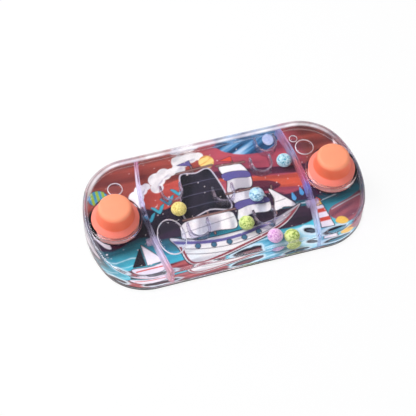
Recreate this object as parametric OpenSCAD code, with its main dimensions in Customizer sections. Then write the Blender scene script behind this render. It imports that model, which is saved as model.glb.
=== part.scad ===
// Handheld water game: a flat clear case full of water, with two thumb pumps and six loose balls.
// Millimetres. The origin is the middle of the back face, +X is the long way, and +Z points out of the
// front.

/* [Case] */
// Length of the case over its two rounded ends
case_l = 145; // [135:1:160]
// Width of the case
case_w = 72; // [68:1:80]
// Thickness of the case without the collars and buttons
case_h = 13; // [12.5:0.5:16]
// Radius of the four corners
corner_r = 25.5; // [18:0.5:28]
// Radius of the gently bowed ends
end_r = 54; // [45:1:80]
// Thickness of the side wall
wall = 1.8; // [1.6:0.1:2.4]
// Thickness of the top plate
top_t = 1.8; // [1.4:0.1:2]
// Thickness of the back cover
back_t = 1.8; // [1.4:0.1:2]
// Rounding of the top edge of the front shell
top_edge_r = 1.4; // [0.8:0.1:1.5]
// Rounding of the bottom edge of the back cover
back_edge_r = 0.8; // [0.4:0.1:1]
// Height of the tongue on the back cover that is welded into a groove in the rim of the front shell
tongue_h = 0.5; // [0.4:0.1:0.8]
// Thickness of that tongue
tongue_t = 0.6; // [0.5:0.05:0.8]
// Gap between the tongue and its groove
tongue_gap = 0.05; // [0.03:0.01:0.1]

/* [Picture card] */
// Thickness of the picture card
card_t = 0.3; // [0.2:0.05:0.5]
// Gap between the card and the side wall
card_gap = 0.1; // [0.05:0.05:0.3]

/* [Dividers] */
// Thickness of the curved dividers
divider_t = 2; // [1.4:0.1:2.4]
// Radius of their curve
divider_r = 150; // [120:5:200]
// Clear room between the left divider and the clamp ring of its button
left_divider_room = 2; // [1:0.1:3]
// Clear room between the right divider and the clamp ring of its button
right_divider_room = 0.2; // [0.2:0.1:1]
// Gap between each divider and the pieces around its edges
divider_gap = 0.02; // [0.01:0.01:0.1]

/* [Nozzles] */
// Outer radius of the jet nozzles
nozzle_r = 2.2; // [1.8:0.1:2.5]
// Radius of their bore
nozzle_bore_r = 1; // [0.6:0.1:1.3]
// Length of a nozzle
nozzle_l = 6.5; // [5:0.5:8]
// Distance of the nozzles in front of the middle
nozzle_y = -13; // [-16:0.5:-11]
// Height of the nozzles above the card
nozzle_lift = 0.4; // [0.2:0.1:1]
// Gap between a nozzle and its hole
nozzle_fit = 0.05; // [0.02:0.01:0.1]

/* [Buttons] */
// Distance of the middle of a button from the end of the case
button_end = 15.4; // [15:0.1:17]
// Radius of a button at its top
button_top_r = 8.6; // [8:0.1:9]
// Radius of a button at its base
button_base_r = 9.9; // [9.4:0.1:10.2]
// Rounding of its top edge
button_edge_r = 2.4; // [1.5:0.1:3]
// Height of the buttons above the top plate
button_h = 13.9; // [11:0.1:15]
// Wall of the silicone dome
button_wall = 1.5; // [1:0.1:2]
// Thickness of the silicone under the thumb
button_top_t = 2.6; // [2:0.1:3.5]
// Height of the foot of the dome above the collar
dome_foot = 0.2; // [0.1:0.1:0.6]
// Gap between a moving dome and its fixed skirt
dome_gap = 0.3; // [0.2:0.05:0.5]

/* [Skirts, collars and clamp rings] */
// Outer radius of the brim that rests on the collar
brim_r = 12.1; // [11.6:0.1:12.4]
// Thickness of the brim at its outer edge
brim_edge_t = 0.7; // [0.5:0.1:1]
// Height of the brim at the dome
brim_h = 2.4; // [1.6:0.1:2.6]
// Wall of the neck that goes down through the collar
neck_t = 0.6; // [0.5:0.05:0.8]
// Gap between the neck and the collar
neck_gap = 0.2; // [0.1:0.05:0.3]
// Outer radius of a collar
collar_r = 13.3; // [12.9:0.1:13.4]
// Height of a collar above the top plate
collar_h = 2.8; // [1.8:0.1:3]
// Outer radius of the clamped flange
flange_r = 11.9; // [11.6:0.05:12]
// Thickness of the clamped flange
flange_t = 1.1; // [0.8:0.1:1.4]
// Outer radius of a clamp ring
clamp_r = 12.7; // [12.5:0.05:12.8]
// Thickness of a clamp ring under the flange
clamp_t = 1.2; // [0.9:0.1:1.5]
// Gap between the edge of the flange and the clamp ring
clamp_gap = 0.1; // [0.05:0.05:0.2]

/* [Filling plug] */
// Radius of the stem of the filling plug
plug_r = 3.1; // [2.9:0.1:3.4]
// Radius of its head
plug_head_r = 4.8; // [4.4:0.1:5.4]
// Thickness of its head
plug_head_t = 0.8; // [0.6:0.1:1]
// How far the head lies below the back face
plug_sink = 0.2; // [0.1:0.05:0.3]
// How far the stem ends below the inner face of the back cover
plug_short = 0.1; // [0.05:0.05:0.3]
// Running gap round the plug
plug_gap = 0.08; // [0.05:0.01:0.1]

/* [Balls] */
// Diameter of the loose balls
ball_d = 8; // [7:0.1:8.2]
// Gap under a ball at rest
ball_lift = 0.2; // [0.1:0.05:0.3]

/* [Catch pockets] */
// Room for the ball on each side of it in a pocket
pocket_room = 0.6; // [0.4:0.1:0.7]
// Wall of a pocket
pocket_t = 1.1; // [0.8:0.1:1.2]
// Height of a pocket
pocket_h = 7; // [5.5:0.1:7.5]
// Length of its two arms beyond the middle of the ball
pocket_arm = 4.5; // [3:0.5:5]

/* [Places of the catch pockets] */
// Pocket 1: its middle from the right divider
pocket_1_side = 18.2; // [17:0.1:19]
// Pocket 1: clear room between its arms and pocket 2
pocket_1_room = 1.3; // [0.4:0.1:2]
// Pocket 2: its middle from the right divider
pocket_2_side = 12.2; // [11:0.1:13]
// Pocket 2: its middle from the back edge of the case
pocket_2_edge = 8.5; // [8.2:0.1:9.5]
// Pocket 3: its middle from the left divider
pocket_3_side = 16.9; // [15.5:0.1:18]
// Pocket 3: how far it lies behind the middle
pocket_3_back = 11.5; // [10.5:0.1:12.5]
// Pocket 4: its middle from the left divider
pocket_4_side = 24.4; // [22:0.1:26]
// Pocket 4: how far it lies in front of the middle
pocket_4_front = 13; // [12:0.1:14.5]
// Pocket 5: its middle from the right divider
pocket_5_side = 26.2; // [24:0.1:28]
// Pocket 5: how far it lies in front of the middle
pocket_5_front = 15; // [14:0.1:16]
// Pocket 6: how far it lies to the right of the middle
pocket_6_right = 1; // [-1:0.1:3]
// Pocket 6: how far it lies behind the middle
pocket_6_back = 4; // [3:0.1:5]

/* [Places of the balls at rest] */
// Yellow ball: how far it lies to the right of the middle of pocket 3
yellow_right = 0.7; // [0:0.1:2]
// Yellow ball: clear room between it and pocket 3
yellow_room = 0.4; // [0.3:0.1:1]
// Blue ball: its middle from the right divider
blue_side = 26.3; // [24:0.1:28]
// Blue ball: how far it lies in front of the middle
blue_front = 0.8; // [0:0.1:1.5]
// Aqua ball: clear room between it and the middle of the right divider's curve
aqua_room = 1.1; // [1:0.1:2]
// Aqua ball: how far it lies behind the middle
aqua_back = 15.5; // [13:0.1:16.5]
// Green ball 1: clear room between it and pocket 5
green_1_room = 0.4; // [0.3:0.1:1.5]
// Green ball 1: how far it lies in front of the middle of pocket 5
green_1_front = 0.8; // [0:0.1:1.5]
// Green ball 2: its middle from the right divider
green_2_side = 16.6; // [15:0.1:18]
// Green ball 2: clear room between it and the front wall
green_2_room = 0.8; // [0.3:0.1:1.5]
// Pink ball: room between it and green ball 2 along the case
pink_room = 0.1; // [0:0.1:1]
// Pink ball: how far it lies behind green ball 2
pink_back = 2.4; // [2:0.1:3.5]

/* [Hidden] */
$fn = 96;
// Room left over where a cut passes through a face
cut = 1;
// Steps in a quarter turn of a rounded edge
edge_steps = 5;
// Thickness of the slices that a rounded slab is drawn round
slice_t = 0.01;
// Sides of the circles behind the bowed ends and the corners
end_fn = 120;
corner_fn = 64;
// Sides of the circles behind the dividers
divider_fn = 360;

card_z = back_t;
floor_z = card_z + card_t;
ceiling_z = case_h - top_t;
card_inset = wall + card_gap;
tongue_out = (wall - tongue_t) / 2;
tongue_in = (wall + tongue_t) / 2;

half_w = case_w / 2;
corner_y = half_w - corner_r;
end_x = case_l / 2 - end_r;
corner_x = end_x + sqrt(pow(end_r - corner_r, 2) - pow(corner_y, 2));
meet_a = atan2(corner_y, corner_x - end_x);

neck_in_r = button_base_r + dome_gap;
neck_r = neck_in_r + neck_t;
collar_in_r = neck_r + neck_gap;
collar_z = case_h + collar_h;
button_top_z = case_h + button_h;
button_base_z = collar_z + dome_foot;
flange_z = ceiling_z - flange_t;
clamp_z = flange_z - clamp_t;

button_x = case_l / 2 - button_end;
left_divider_x = button_x - clamp_r - left_divider_room - divider_t / 2;
right_divider_x = button_x - clamp_r - right_divider_room - divider_t / 2;
nozzle_z = floor_z + nozzle_r + nozzle_lift;
ball_z = floor_z + ball_lift + ball_d / 2;

pocket_in_r = ball_d / 2 + pocket_room;
pocket_out_r = pocket_in_r + pocket_t;

// Middle of each catch pocket
pocket_2_y = half_w - pocket_2_edge;
pocket_places = [
    [right_divider_x - pocket_1_side, pocket_2_y - pocket_out_r - pocket_arm - pocket_1_room],
    [right_divider_x - pocket_2_side, pocket_2_y],
    [pocket_3_side - left_divider_x, pocket_3_back],
    [pocket_4_side - left_divider_x, -pocket_4_front],
    [right_divider_x - pocket_5_side, -pocket_5_front],
    [pocket_6_right, pocket_6_back]
];

// Distance of a ball's middle from that of a pocket which it touches
touch = pocket_out_r + ball_d / 2;
// Middle of each ball at rest
yellow_place = pocket_places[2] + [yellow_right, -touch - yellow_room];
blue_place = [right_divider_x - blue_side, -blue_front];
aqua_place = [right_divider_x - (divider_t + ball_d) / 2 - aqua_room, aqua_back];
green_1_place = pocket_places[4] + [-touch - green_1_room, -green_1_front];
green_2_place = [right_divider_x - green_2_side, wall + green_2_room + ball_d / 2 - half_w];
pink_place = green_2_place + [-ball_d - pink_room, pink_back];

// The outline of the case, drawn in by inset: corner circles, a middle strip and two bowed ends.
module outline(inset = 0) {
    square([2 * corner_x, case_w - 2 * inset], center = true);
    for (sx = [-1, 1]) {
        for (sy = [-1, 1])
            translate([sx * corner_x, sy * corner_y]) circle(r = corner_r - inset, $fn = corner_fn);
        scale([sx, 1]) bowed_end(end_r - inset);
    }
}

// The pie slice of a bowed end that lies between its two corners.
module bowed_end(r) {
    reach = r / cos(meet_a) + cut;
    translate([end_x, 0]) intersection() {
        circle(r = r, $fn = end_fn);
        polygon([
            [0, 0],
            [reach * cos(meet_a), -reach * sin(meet_a)],
            [reach * cos(meet_a), reach * sin(meet_a)]
        ]);
    }
}

// A slab of the outline, flat below and with a rounded edge above.
module rounded_slab(h, edge_r) hull() {
    linear_extrude(h - edge_r) outline();
    for (i = [1:edge_steps]) {
        a = 90 * i / edge_steps;
        translate([0, 0, h - edge_r * (1 - sin(a)) - slice_t])
            linear_extrude(slice_t) outline(edge_r * (1 - cos(a)));
    }
}

// A belt that follows the outline, from one inset to another.
module rim(outer_inset, inner_inset, h) linear_extrude(h) difference() {
    outline(outer_inset);
    outline(inner_inset);
}

module ring(outer_r, inner_r, h) {
    difference() {
        cylinder(r = outer_r, h = h);
        translate([0, 0, -cut]) cylinder(r = inner_r, h = h + 2 * cut);
    }
}

module front_shell() color([0.86, 0.87, 0.93, 0.35]) difference() {
    union() {
        translate([0, 0, back_t]) rounded_slab(case_h - back_t, top_edge_r);
        for (sx = [-1, 1])
            translate([sx * button_x, 0, case_h - top_t / 2])
                cylinder(r = collar_r, h = collar_h + top_t / 2);
    }
    translate([0, 0, back_t - cut]) linear_extrude(ceiling_z - back_t + cut) outline(wall);
    translate([0, 0, back_t - cut]) rim(tongue_out - tongue_gap, tongue_in + tongue_gap,
        cut + tongue_h + tongue_gap);
    for (sx = [-1, 1])
        translate([sx * button_x, 0, ceiling_z - cut])
            cylinder(r = collar_in_r, h = top_t + collar_h + 2 * cut);
}

module back_cover() color([0.84, 0.86, 0.92, 0.4]) difference() {
    union() {
        translate([0, 0, back_t]) mirror([0, 0, 1]) rounded_slab(back_t, back_edge_r);
        translate([0, 0, back_t / 2]) rim(tongue_out, tongue_in, back_t / 2 + tongue_h);
    }
    translate([button_x, 0, -cut]) {
        cylinder(r = plug_r + plug_gap, h = back_t + 2 * cut);
        cylinder(r = plug_head_r + plug_gap, h = cut + plug_sink + plug_head_t + plug_gap);
    }
}

// A plain sheet: it lies loose over the inner end of the filling hole, and water passes round its edge.
module picture_card() color("firebrick") translate([0, 0, card_z])
    linear_extrude(card_t) outline(card_inset);

// A curved wall that bulges away from the middle, from the card to the top plate and from wall to wall.
module divider(x) translate([0, 0, floor_z + divider_gap])
    linear_extrude(ceiling_z - floor_z - 2 * divider_gap) intersection() {
        translate([x - divider_r, 0]) difference() {
            circle(r = divider_r + divider_t / 2, $fn = divider_fn);
            circle(r = divider_r - divider_t / 2, $fn = divider_fn);
        }
        translate([0, -half_w + wall + divider_gap])
            square([case_l / 2, case_w - 2 * (wall + divider_gap)]);
    }

module holed_divider(x) difference() {
    divider(x);
    translate([x - nozzle_l, nozzle_y, nozzle_z]) rotate([0, 90, 0])
        cylinder(r = nozzle_r + nozzle_fit, h = 2 * nozzle_l);
}

module nozzle(x) translate([x - nozzle_l / 2, nozzle_y, nozzle_z]) rotate([0, 90, 0])
    ring(nozzle_r, nozzle_bore_r, nozzle_l);

module left_divider() color([0.8, 0.78, 0.92, 0.4]) mirror([1, 0, 0]) holed_divider(left_divider_x);

module right_divider() color([0.8, 0.78, 0.92, 0.4]) holed_divider(right_divider_x);

module left_nozzle() color([0.85, 0.85, 0.95, 0.6]) mirror([1, 0, 0]) nozzle(left_divider_x);

module right_nozzle() color([0.85, 0.85, 0.95, 0.6]) nozzle(right_divider_x);

// The dome that the thumb pushes: a hollow cup with a rounded top edge.
module dome() translate([0, 0, button_base_z]) rotate_extrude() {
    h = button_top_z - button_base_z;
    inside_h = h - button_top_t;
    slope = (button_base_r - button_top_r) / (h - button_edge_r);
    difference() {
        polygon(concat(
            [[0, 0], [button_base_r, 0]],
            [for (i = [0:edge_steps])
                let (a = 90 * i / edge_steps)
                [button_top_r - button_edge_r * (1 - cos(a)), h - button_edge_r * (1 - sin(a))]],
            [[0, h]]
        ));
        polygon([
            [0, -cut],
            [button_base_r - button_wall, -cut],
            [button_base_r - button_wall, 0],
            [button_base_r - button_wall - slope * inside_h, inside_h],
            [0, inside_h]
        ]);
    }
}

// The fixed end of the same silicone moulding: brim on the collar, neck through it, clamped flange.
module skirt() rotate_extrude() {
    brim_w = brim_r - neck_in_r;
    polygon(concat(
        [[neck_in_r, flange_z], [flange_r, flange_z], [flange_r, ceiling_z],
            [neck_r, ceiling_z], [neck_r, collar_z], [brim_r, collar_z]],
        [for (i = [0:edge_steps])
            let (a = 90 * i / edge_steps)
            [brim_r - brim_w * sin(a), collar_z + brim_h - (brim_h - brim_edge_t) * cos(a)]]
    ));
}

// The clear ring that clamps the flange: its outer rim is bonded to the underside of the top plate.
module clamp_ring() translate([0, 0, clamp_z]) difference() {
    cylinder(r = clamp_r, h = clamp_t + flange_t);
    translate([0, 0, -cut]) cylinder(r = neck_in_r, h = clamp_t + flange_t + 2 * cut);
    translate([0, 0, clamp_t]) cylinder(r = flange_r + clamp_gap, h = flange_t + cut);
}

module left_button() color("coral") translate([-button_x, 0, 0]) dome();

module right_button() color("coral") translate([button_x, 0, 0]) dome();

module left_button_skirt() color("coral") translate([-button_x, 0, 0]) skirt();

module right_button_skirt() color("coral") translate([button_x, 0, 0]) skirt();

module left_clamp_ring() color([0.9, 0.9, 0.95, 0.5]) translate([-button_x, 0, 0]) clamp_ring();

module right_clamp_ring() color([0.9, 0.9, 0.95, 0.5]) translate([button_x, 0, 0]) clamp_ring();

module filling_plug() color("white") translate([button_x, 0, plug_sink]) {
    cylinder(r = plug_head_r, h = plug_head_t);
    cylinder(r = plug_r, h = back_t - plug_short - plug_sink);
}

module ball(place) translate([place[0], place[1], ball_z]) sphere(d = ball_d);

module yellow_ball() color("khaki") ball(yellow_place);

module blue_ball() color("powderblue") ball(blue_place);

module aqua_ball() color("aquamarine") ball(aqua_place);

module pink_ball() color("plum") ball(pink_place);

module green_ball_1() color("yellowgreen") ball(green_1_place);

module green_ball_2() color("yellowgreen") ball(green_2_place);

// A U-shaped wall, open towards the back edge, that holds one ball.
module catch_pocket(i) color([0.85, 0.88, 0.97, 0.5])
    translate([pocket_places[i][0], pocket_places[i][1], floor_z]) linear_extrude(pocket_h)
        difference() {
            union() {
                circle(r = pocket_out_r);
                translate([-pocket_out_r, 0]) square([2 * pocket_out_r, pocket_arm]);
            }
            circle(r = pocket_in_r);
            translate([-pocket_in_r, 0]) square([2 * pocket_in_r, pocket_arm + pocket_out_r]);
        }

front_shell();
back_cover();
picture_card();
left_divider();
right_divider();
left_nozzle();
right_nozzle();
left_button();
right_button();
left_button_skirt();
right_button_skirt();
left_clamp_ring();
right_clamp_ring();
filling_plug();
yellow_ball();
blue_ball();
aqua_ball();
pink_ball();
green_ball_1();
green_ball_2();
catch_pocket(0);  // catch_pocket_1
catch_pocket(1);  // catch_pocket_2
catch_pocket(2);  // catch_pocket_3
catch_pocket(3);  // catch_pocket_4
catch_pocket(4);  // catch_pocket_5
catch_pocket(5);  // catch_pocket_6
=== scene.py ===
"""Looks of a handheld water game: a clear case full of water, two thumb pumps and six loose balls.

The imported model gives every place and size. This script dresses it: clear plastic and water as
glass, coral silicone buttons, wrinkled balls, air bubbles and a printed card. Lengths in the classes
are millimetres, and every mesh is made in metres.
"""

import logging
import math
from dataclasses import dataclass
from enum import Enum

import bmesh
import bpy
import numpy as np
from mathutils import Matrix, Vector


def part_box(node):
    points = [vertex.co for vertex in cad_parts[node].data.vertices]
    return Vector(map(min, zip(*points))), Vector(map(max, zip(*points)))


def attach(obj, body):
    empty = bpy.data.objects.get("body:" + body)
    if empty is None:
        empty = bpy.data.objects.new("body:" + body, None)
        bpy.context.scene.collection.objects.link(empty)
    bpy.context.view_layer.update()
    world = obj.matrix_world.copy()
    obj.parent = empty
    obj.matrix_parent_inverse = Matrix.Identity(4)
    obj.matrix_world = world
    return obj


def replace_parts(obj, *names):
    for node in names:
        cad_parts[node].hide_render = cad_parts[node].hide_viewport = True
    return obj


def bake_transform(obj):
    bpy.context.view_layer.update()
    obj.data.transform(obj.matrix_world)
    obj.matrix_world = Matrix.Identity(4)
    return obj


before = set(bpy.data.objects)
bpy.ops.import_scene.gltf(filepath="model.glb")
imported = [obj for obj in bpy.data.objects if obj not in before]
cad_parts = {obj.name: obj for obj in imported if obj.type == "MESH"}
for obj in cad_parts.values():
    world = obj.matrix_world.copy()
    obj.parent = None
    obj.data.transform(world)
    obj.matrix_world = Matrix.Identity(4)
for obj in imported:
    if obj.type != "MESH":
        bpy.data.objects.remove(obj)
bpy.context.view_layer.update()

logging.basicConfig(level=logging.INFO, format="%(message)s")
LOG = logging.getLogger("water_game")

MM = 0.001
PLASTIC_IOR = 1.49
WATER_IOR = 1.33
WET_IOR = PLASTIC_IOR / WATER_IOR
CASE_BODY = "case"
WHITE = "ffffff"
SAME_PLACE = 1e-4

Point = tuple[float, float]
Triple = tuple[float, float, float]
Stops = tuple[tuple[float, str], ...] | list[tuple[float, str]]
Tree = bpy.types.NodeTree
Node = bpy.types.Node
Source = bpy.types.NodeSocket | Node
Material = bpy.types.Material
Piece = bpy.types.Object
Loop = list[bmesh.types.BMVert]


def linear(colour: str) -> tuple[float, float, float, float]:
    """Turns an sRGB hex colour into linear RGBA.

    Args:
        colour: Six hex digits, such as "ff8060".

    Returns:
        The linear red, green and blue, and an alpha of 1.
    """
    knee, slope, lift, power = 0.04045, 12.92, 0.055, 2.4
    parts = [int(colour[i:i + 2], 16) / 255 for i in (0, 2, 4)]
    return (*(p / slope if p <= knee else ((p + lift) / (1 + lift)) ** power for p in parts), 1.0)


def ease(t: float | np.ndarray) -> float | np.ndarray:
    """Softens both ends of a share from 0 to 1."""
    return t * t * (3 - 2 * t)


def add_node(tree: Tree, kind: str, inputs: dict | tuple = (), stops: Stops = (), **settings: object) -> Node:
    """Adds a node with its settings and links.

    Args:
        tree: The tree that takes the node.
        kind: The node's type, such as "ShaderNodeMath".
        inputs: A value, an output, or a node for its first output, for each input by its name, or
            for the first inputs in their order, such as value, from, from, to, to for Map Range.
        stops: A colour ramp's stops, each with its place from 0 to 1 and its sRGB hex colour.
        settings: The node's own properties, such as operation="ADD".

    Returns:
        The new node.
    """
    node = tree.nodes.new(kind)
    for name, value in settings.items():
        setattr(node, name, value)
    for key, value in inputs.items() if isinstance(inputs, dict) else enumerate(inputs):
        if isinstance(value, Node):
            value = value.outputs[0]
        if isinstance(value, bpy.types.NodeSocket):
            tree.links.new(value, node.inputs[key])
        else:
            node.inputs[key].default_value = value
    if stops:
        elements = node.color_ramp.elements
        elements.remove(elements[-1])
        elements[0].position, elements[0].color = stops[0][0], linear(stops[0][1])
        for place, colour in stops[1:]:
            elements.new(place).color = linear(colour)
    return node


def object_mm(tree: Tree) -> Node:
    """Gives the place on the object in millimetres.

    Args:
        tree: The material's tree.

    Returns:
        The node that gives it.
    """
    place = add_node(tree, "ShaderNodeTexCoord").outputs["Object"]
    return add_node(tree, "ShaderNodeVectorMath", {0: place, "Scale": 1 / MM}, operation="SCALE")


def mottle(tree: Tree, grain: float, detail: float = 3.0, place: Source | None = None) -> Source:
    """Lays lumps over the object that are about grain millimetres wide.

    Args:
        tree: The material's tree.
        grain: The width of a lump in millimetres.
        detail: How many finer layers it has.
        place: Where it is read, in millimetres, or None for the place on the object.

    Returns:
        A value around 0.5.
    """
    where = object_mm(tree) if place is None else place
    lumps = add_node(tree, "ShaderNodeTexNoise", {"Vector": where, "Scale": 1 / grain, "Detail": detail})
    return lumps.outputs["Fac"]


@dataclass(frozen=True, kw_only=True)
class Finish:
    """One real material, whose patterns are measured in millimetres on the object."""

    name: str

    def build(self) -> Material:
        """Makes the material.

        Returns:
            The material with all its nodes.
        """
        material = bpy.data.materials.new(self.name)
        material.use_nodes = True
        tree = material.node_tree
        tree.nodes.clear()
        add_node(tree, "ShaderNodeOutputMaterial", (self.surface(tree),))
        return material

    def surface(self, tree: Tree) -> Node:
        """Adds the finish's nodes to its empty tree and gives the last of them."""
        raise NotImplementedError

    @staticmethod
    def grained(tree: Tree, height: Source, depth: float, inputs: dict) -> Node:
        """Gives an opaque surface with a fine relief.

        Args:
            tree: The material's tree.
            height: The relief, from 0 to 1.
            depth: What a height of 1 stands for, in millimetres.
            inputs: The other inputs of the surface.

        Returns:
            The surface.
        """
        relief = add_node(tree, "ShaderNodeBump", {
            "Height": height, "Distance": depth * MM, "Strength": 1.0})
        return add_node(tree, "ShaderNodeBsdfPrincipled", {"Normal": relief, **inputs})

    @staticmethod
    def lamplit(tree: Tree, seen: Node, shadow: str) -> Node:
        """Lets light from lamps through a clear surface, onto what lies behind it.

        Args:
            tree: The material's tree.
            seen: What the eye sees of the surface.
            shadow: The colour of the light that passes.

        Returns:
            The surface.
        """
        is_shadow = add_node(tree, "ShaderNodeLightPath").outputs["Is Shadow Ray"]
        clear = add_node(tree, "ShaderNodeBsdfTransparent", (linear(shadow),))
        return add_node(tree, "ShaderNodeMixShader", (is_shadow, seen, clear))


@dataclass(frozen=True, kw_only=True)
class ClearPlastic(Finish):
    """Crystal polystyrene, injection moulded: a polished glass-like wall with a faint mould flow."""

    ior: float
    tints: Stops = ((0.38, "f6f4f4"), (0.5, "f9f5f5"), (0.62, "f4f5f7"))
    roughness: float = 0.01
    flow: float = 9.0
    shadow: str = "f6f5fa"

    def surface(self, tree: Tree) -> Node:
        """Adds glass with tints that drift along the moulding.

        Args:
            tree: The material's tree.

        Returns:
            The surface.
        """
        tint = add_node(tree, "ShaderNodeValToRGB", (mottle(tree, self.flow),), self.tints)
        glass = add_node(tree, "ShaderNodeBsdfGlass",
                         {"Color": tint, "Roughness": self.roughness, "IOR": self.ior})
        return self.lamplit(tree, glass, self.shadow)


@dataclass(frozen=True, kw_only=True)
class AirInWater(ClearPlastic):
    """The skin of an air bubble in water: light bends the other way there and mirrors at the rim."""

    name: str = "air_in_water"
    ior: float = 1 / WATER_IOR
    tints: Stops = ((0.4, WHITE), (0.6, "f4f7ff"))
    roughness: float = 0.0
    flow: float = 2.5
    shadow: str = WHITE


@dataclass(frozen=True, kw_only=True)
class BubbleRim(Finish):
    """Skin of an air bubble painted pale: a crisp white rim, a painted reflection of the light that the rim
    turns back, or a pale patch all over.
    """

    name: str = "painted_reflection_bubble_rim"
    share: float = 0.85
    tones: Stops = ((0.38, "f3eef4"), (0.6, WHITE))
    patch: float = 2.0
    roughness: float = 0.25
    ior: float = 1.2

    def surface(self, tree: Tree) -> Node:
        """Adds a glossy white, as painted reflection, that lets part of what lies behind it through.

        Args:
            tree: The material's tree.

        Returns:
            The surface.
        """
        tone = add_node(tree, "ShaderNodeValToRGB", (mottle(tree, self.patch),), self.tones)
        white = add_node(tree, "ShaderNodeBsdfPrincipled", {
            "Base Color": tone, "Roughness": self.roughness, "IOR": self.ior})
        clear = add_node(tree, "ShaderNodeBsdfTransparent", (linear(WHITE),))
        return self.lamplit(tree, add_node(tree, "ShaderNodeMixShader", (self.share, clear, white)), WHITE)


@dataclass(frozen=True, kw_only=True)
class VeiledPlastic(Finish):
    """Crystal polystyrene as polished glass under a matt veil in places; the veil is painted highlight and
    painted reflection.
    """

    glass: str
    shadow: str
    roughness: float = 0.02
    ior: float = WET_IOR

    def veiled(self, tree: Tree, share: Source, veil: Source) -> Node:
        """Gives the glass under its veil.

        Args:
            tree: The material's tree.
            share: How much of the veil shows.
            veil: The veil's colour.

        Returns:
            The surface.
        """
        polished = add_node(tree, "ShaderNodeBsdfGlass", {
            "Color": linear(self.glass), "Roughness": self.roughness, "IOR": self.ior})
        matt = add_node(tree, "ShaderNodeBsdfDiffuse", (veil,))
        mixed = add_node(tree, "ShaderNodeMixShader", (share, polished, matt))
        return self.lamplit(tree, mixed, self.shadow)


@dataclass(frozen=True, kw_only=True)
class RimHighlightPlastic(VeiledPlastic):
    """Crystal polystyrene over the wall, with a white band along the rim where the top plate runs into the
    wall: a painted highlight and reflection.
    """

    name: str = "rim_highlight_polystyrene"
    glass: str = "f2f1f5"
    shadow: str = "f0eff4"
    ior: float = PLASTIC_IOR
    attribute: str = "rim_highlight"
    cloud_w: float = 9.0
    cloud_span: Point = (0.38, 0.6)
    cloud: Point = (0.7, 1.1)
    tone_w: float = 14.0
    tones: Stops = ((0.4, "d2cdda"), (0.6, "efedf1"))

    def surface(self, tree: Tree) -> Node:
        """Adds the painted highlight that the mesh carries, in clouds.

        Args:
            tree: The material's tree.

        Returns:
            The surface.
        """
        # painted highlight: the share of white veil along the rim, which the mesh carries
        rim_highlight = add_node(tree, "ShaderNodeAttribute", attribute_name=self.attribute).outputs["Fac"]
        cloud = add_node(tree, "ShaderNodeMapRange", (
            mottle(tree, self.cloud_w), *self.cloud_span, *self.cloud))
        share = add_node(tree, "ShaderNodeMath", (rim_highlight, cloud), operation="MULTIPLY")
        tone = add_node(tree, "ShaderNodeValToRGB", (mottle(tree, self.tone_w),), self.tones)
        return self.veiled(tree, share, tone)


@dataclass(frozen=True, kw_only=True)
class InnerPlastic(VeiledPlastic):
    """Crystal polystyrene in water, nearly unseen but for a pale veil that thickens at the top edge: a
    painted highlight, in tints that are painted reflections of the colours around.
    """

    glass: str = "f4f3f8"
    shadow: str = "f2f0f6"
    highlight_z: float
    highlight_rise: float = 0.1
    veil: float = 0.06
    edge_highlight: float = 0.2
    cloud_w: float = 2.2
    cloud_span: Point = (0.35, 0.65)
    cloud: Point = (0.4, 1.3)
    tone_w: float = 3.0
    # painted reflections: blue, lilac and pink tints for the colours that the edges pick up around them
    tones: Stops = ((0.36, "cfd8f2"), (0.5, "e2dcf0"), (0.64, "f0c9d4"))

    def surface(self, tree: Tree) -> Node:
        """Adds a veil, a painted highlight, that thickens at the top edge.

        Args:
            tree: The material's tree.

        Returns:
            The surface.
        """
        height = add_node(tree, "ShaderNodeSeparateXYZ", (object_mm(tree),)).outputs["Z"]
        edge = add_node(tree, "ShaderNodeMapRange", (
            height, self.highlight_z, self.highlight_z + self.highlight_rise, self.veil, self.edge_highlight))
        cloud = add_node(tree, "ShaderNodeMapRange", (
            mottle(tree, self.cloud_w), *self.cloud_span, *self.cloud))
        share = add_node(tree, "ShaderNodeMath", (edge, cloud), operation="MULTIPLY")
        tone = add_node(tree, "ShaderNodeValToRGB", (mottle(tree, self.tone_w),), self.tones)
        return self.veiled(tree, share, tone)


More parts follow.
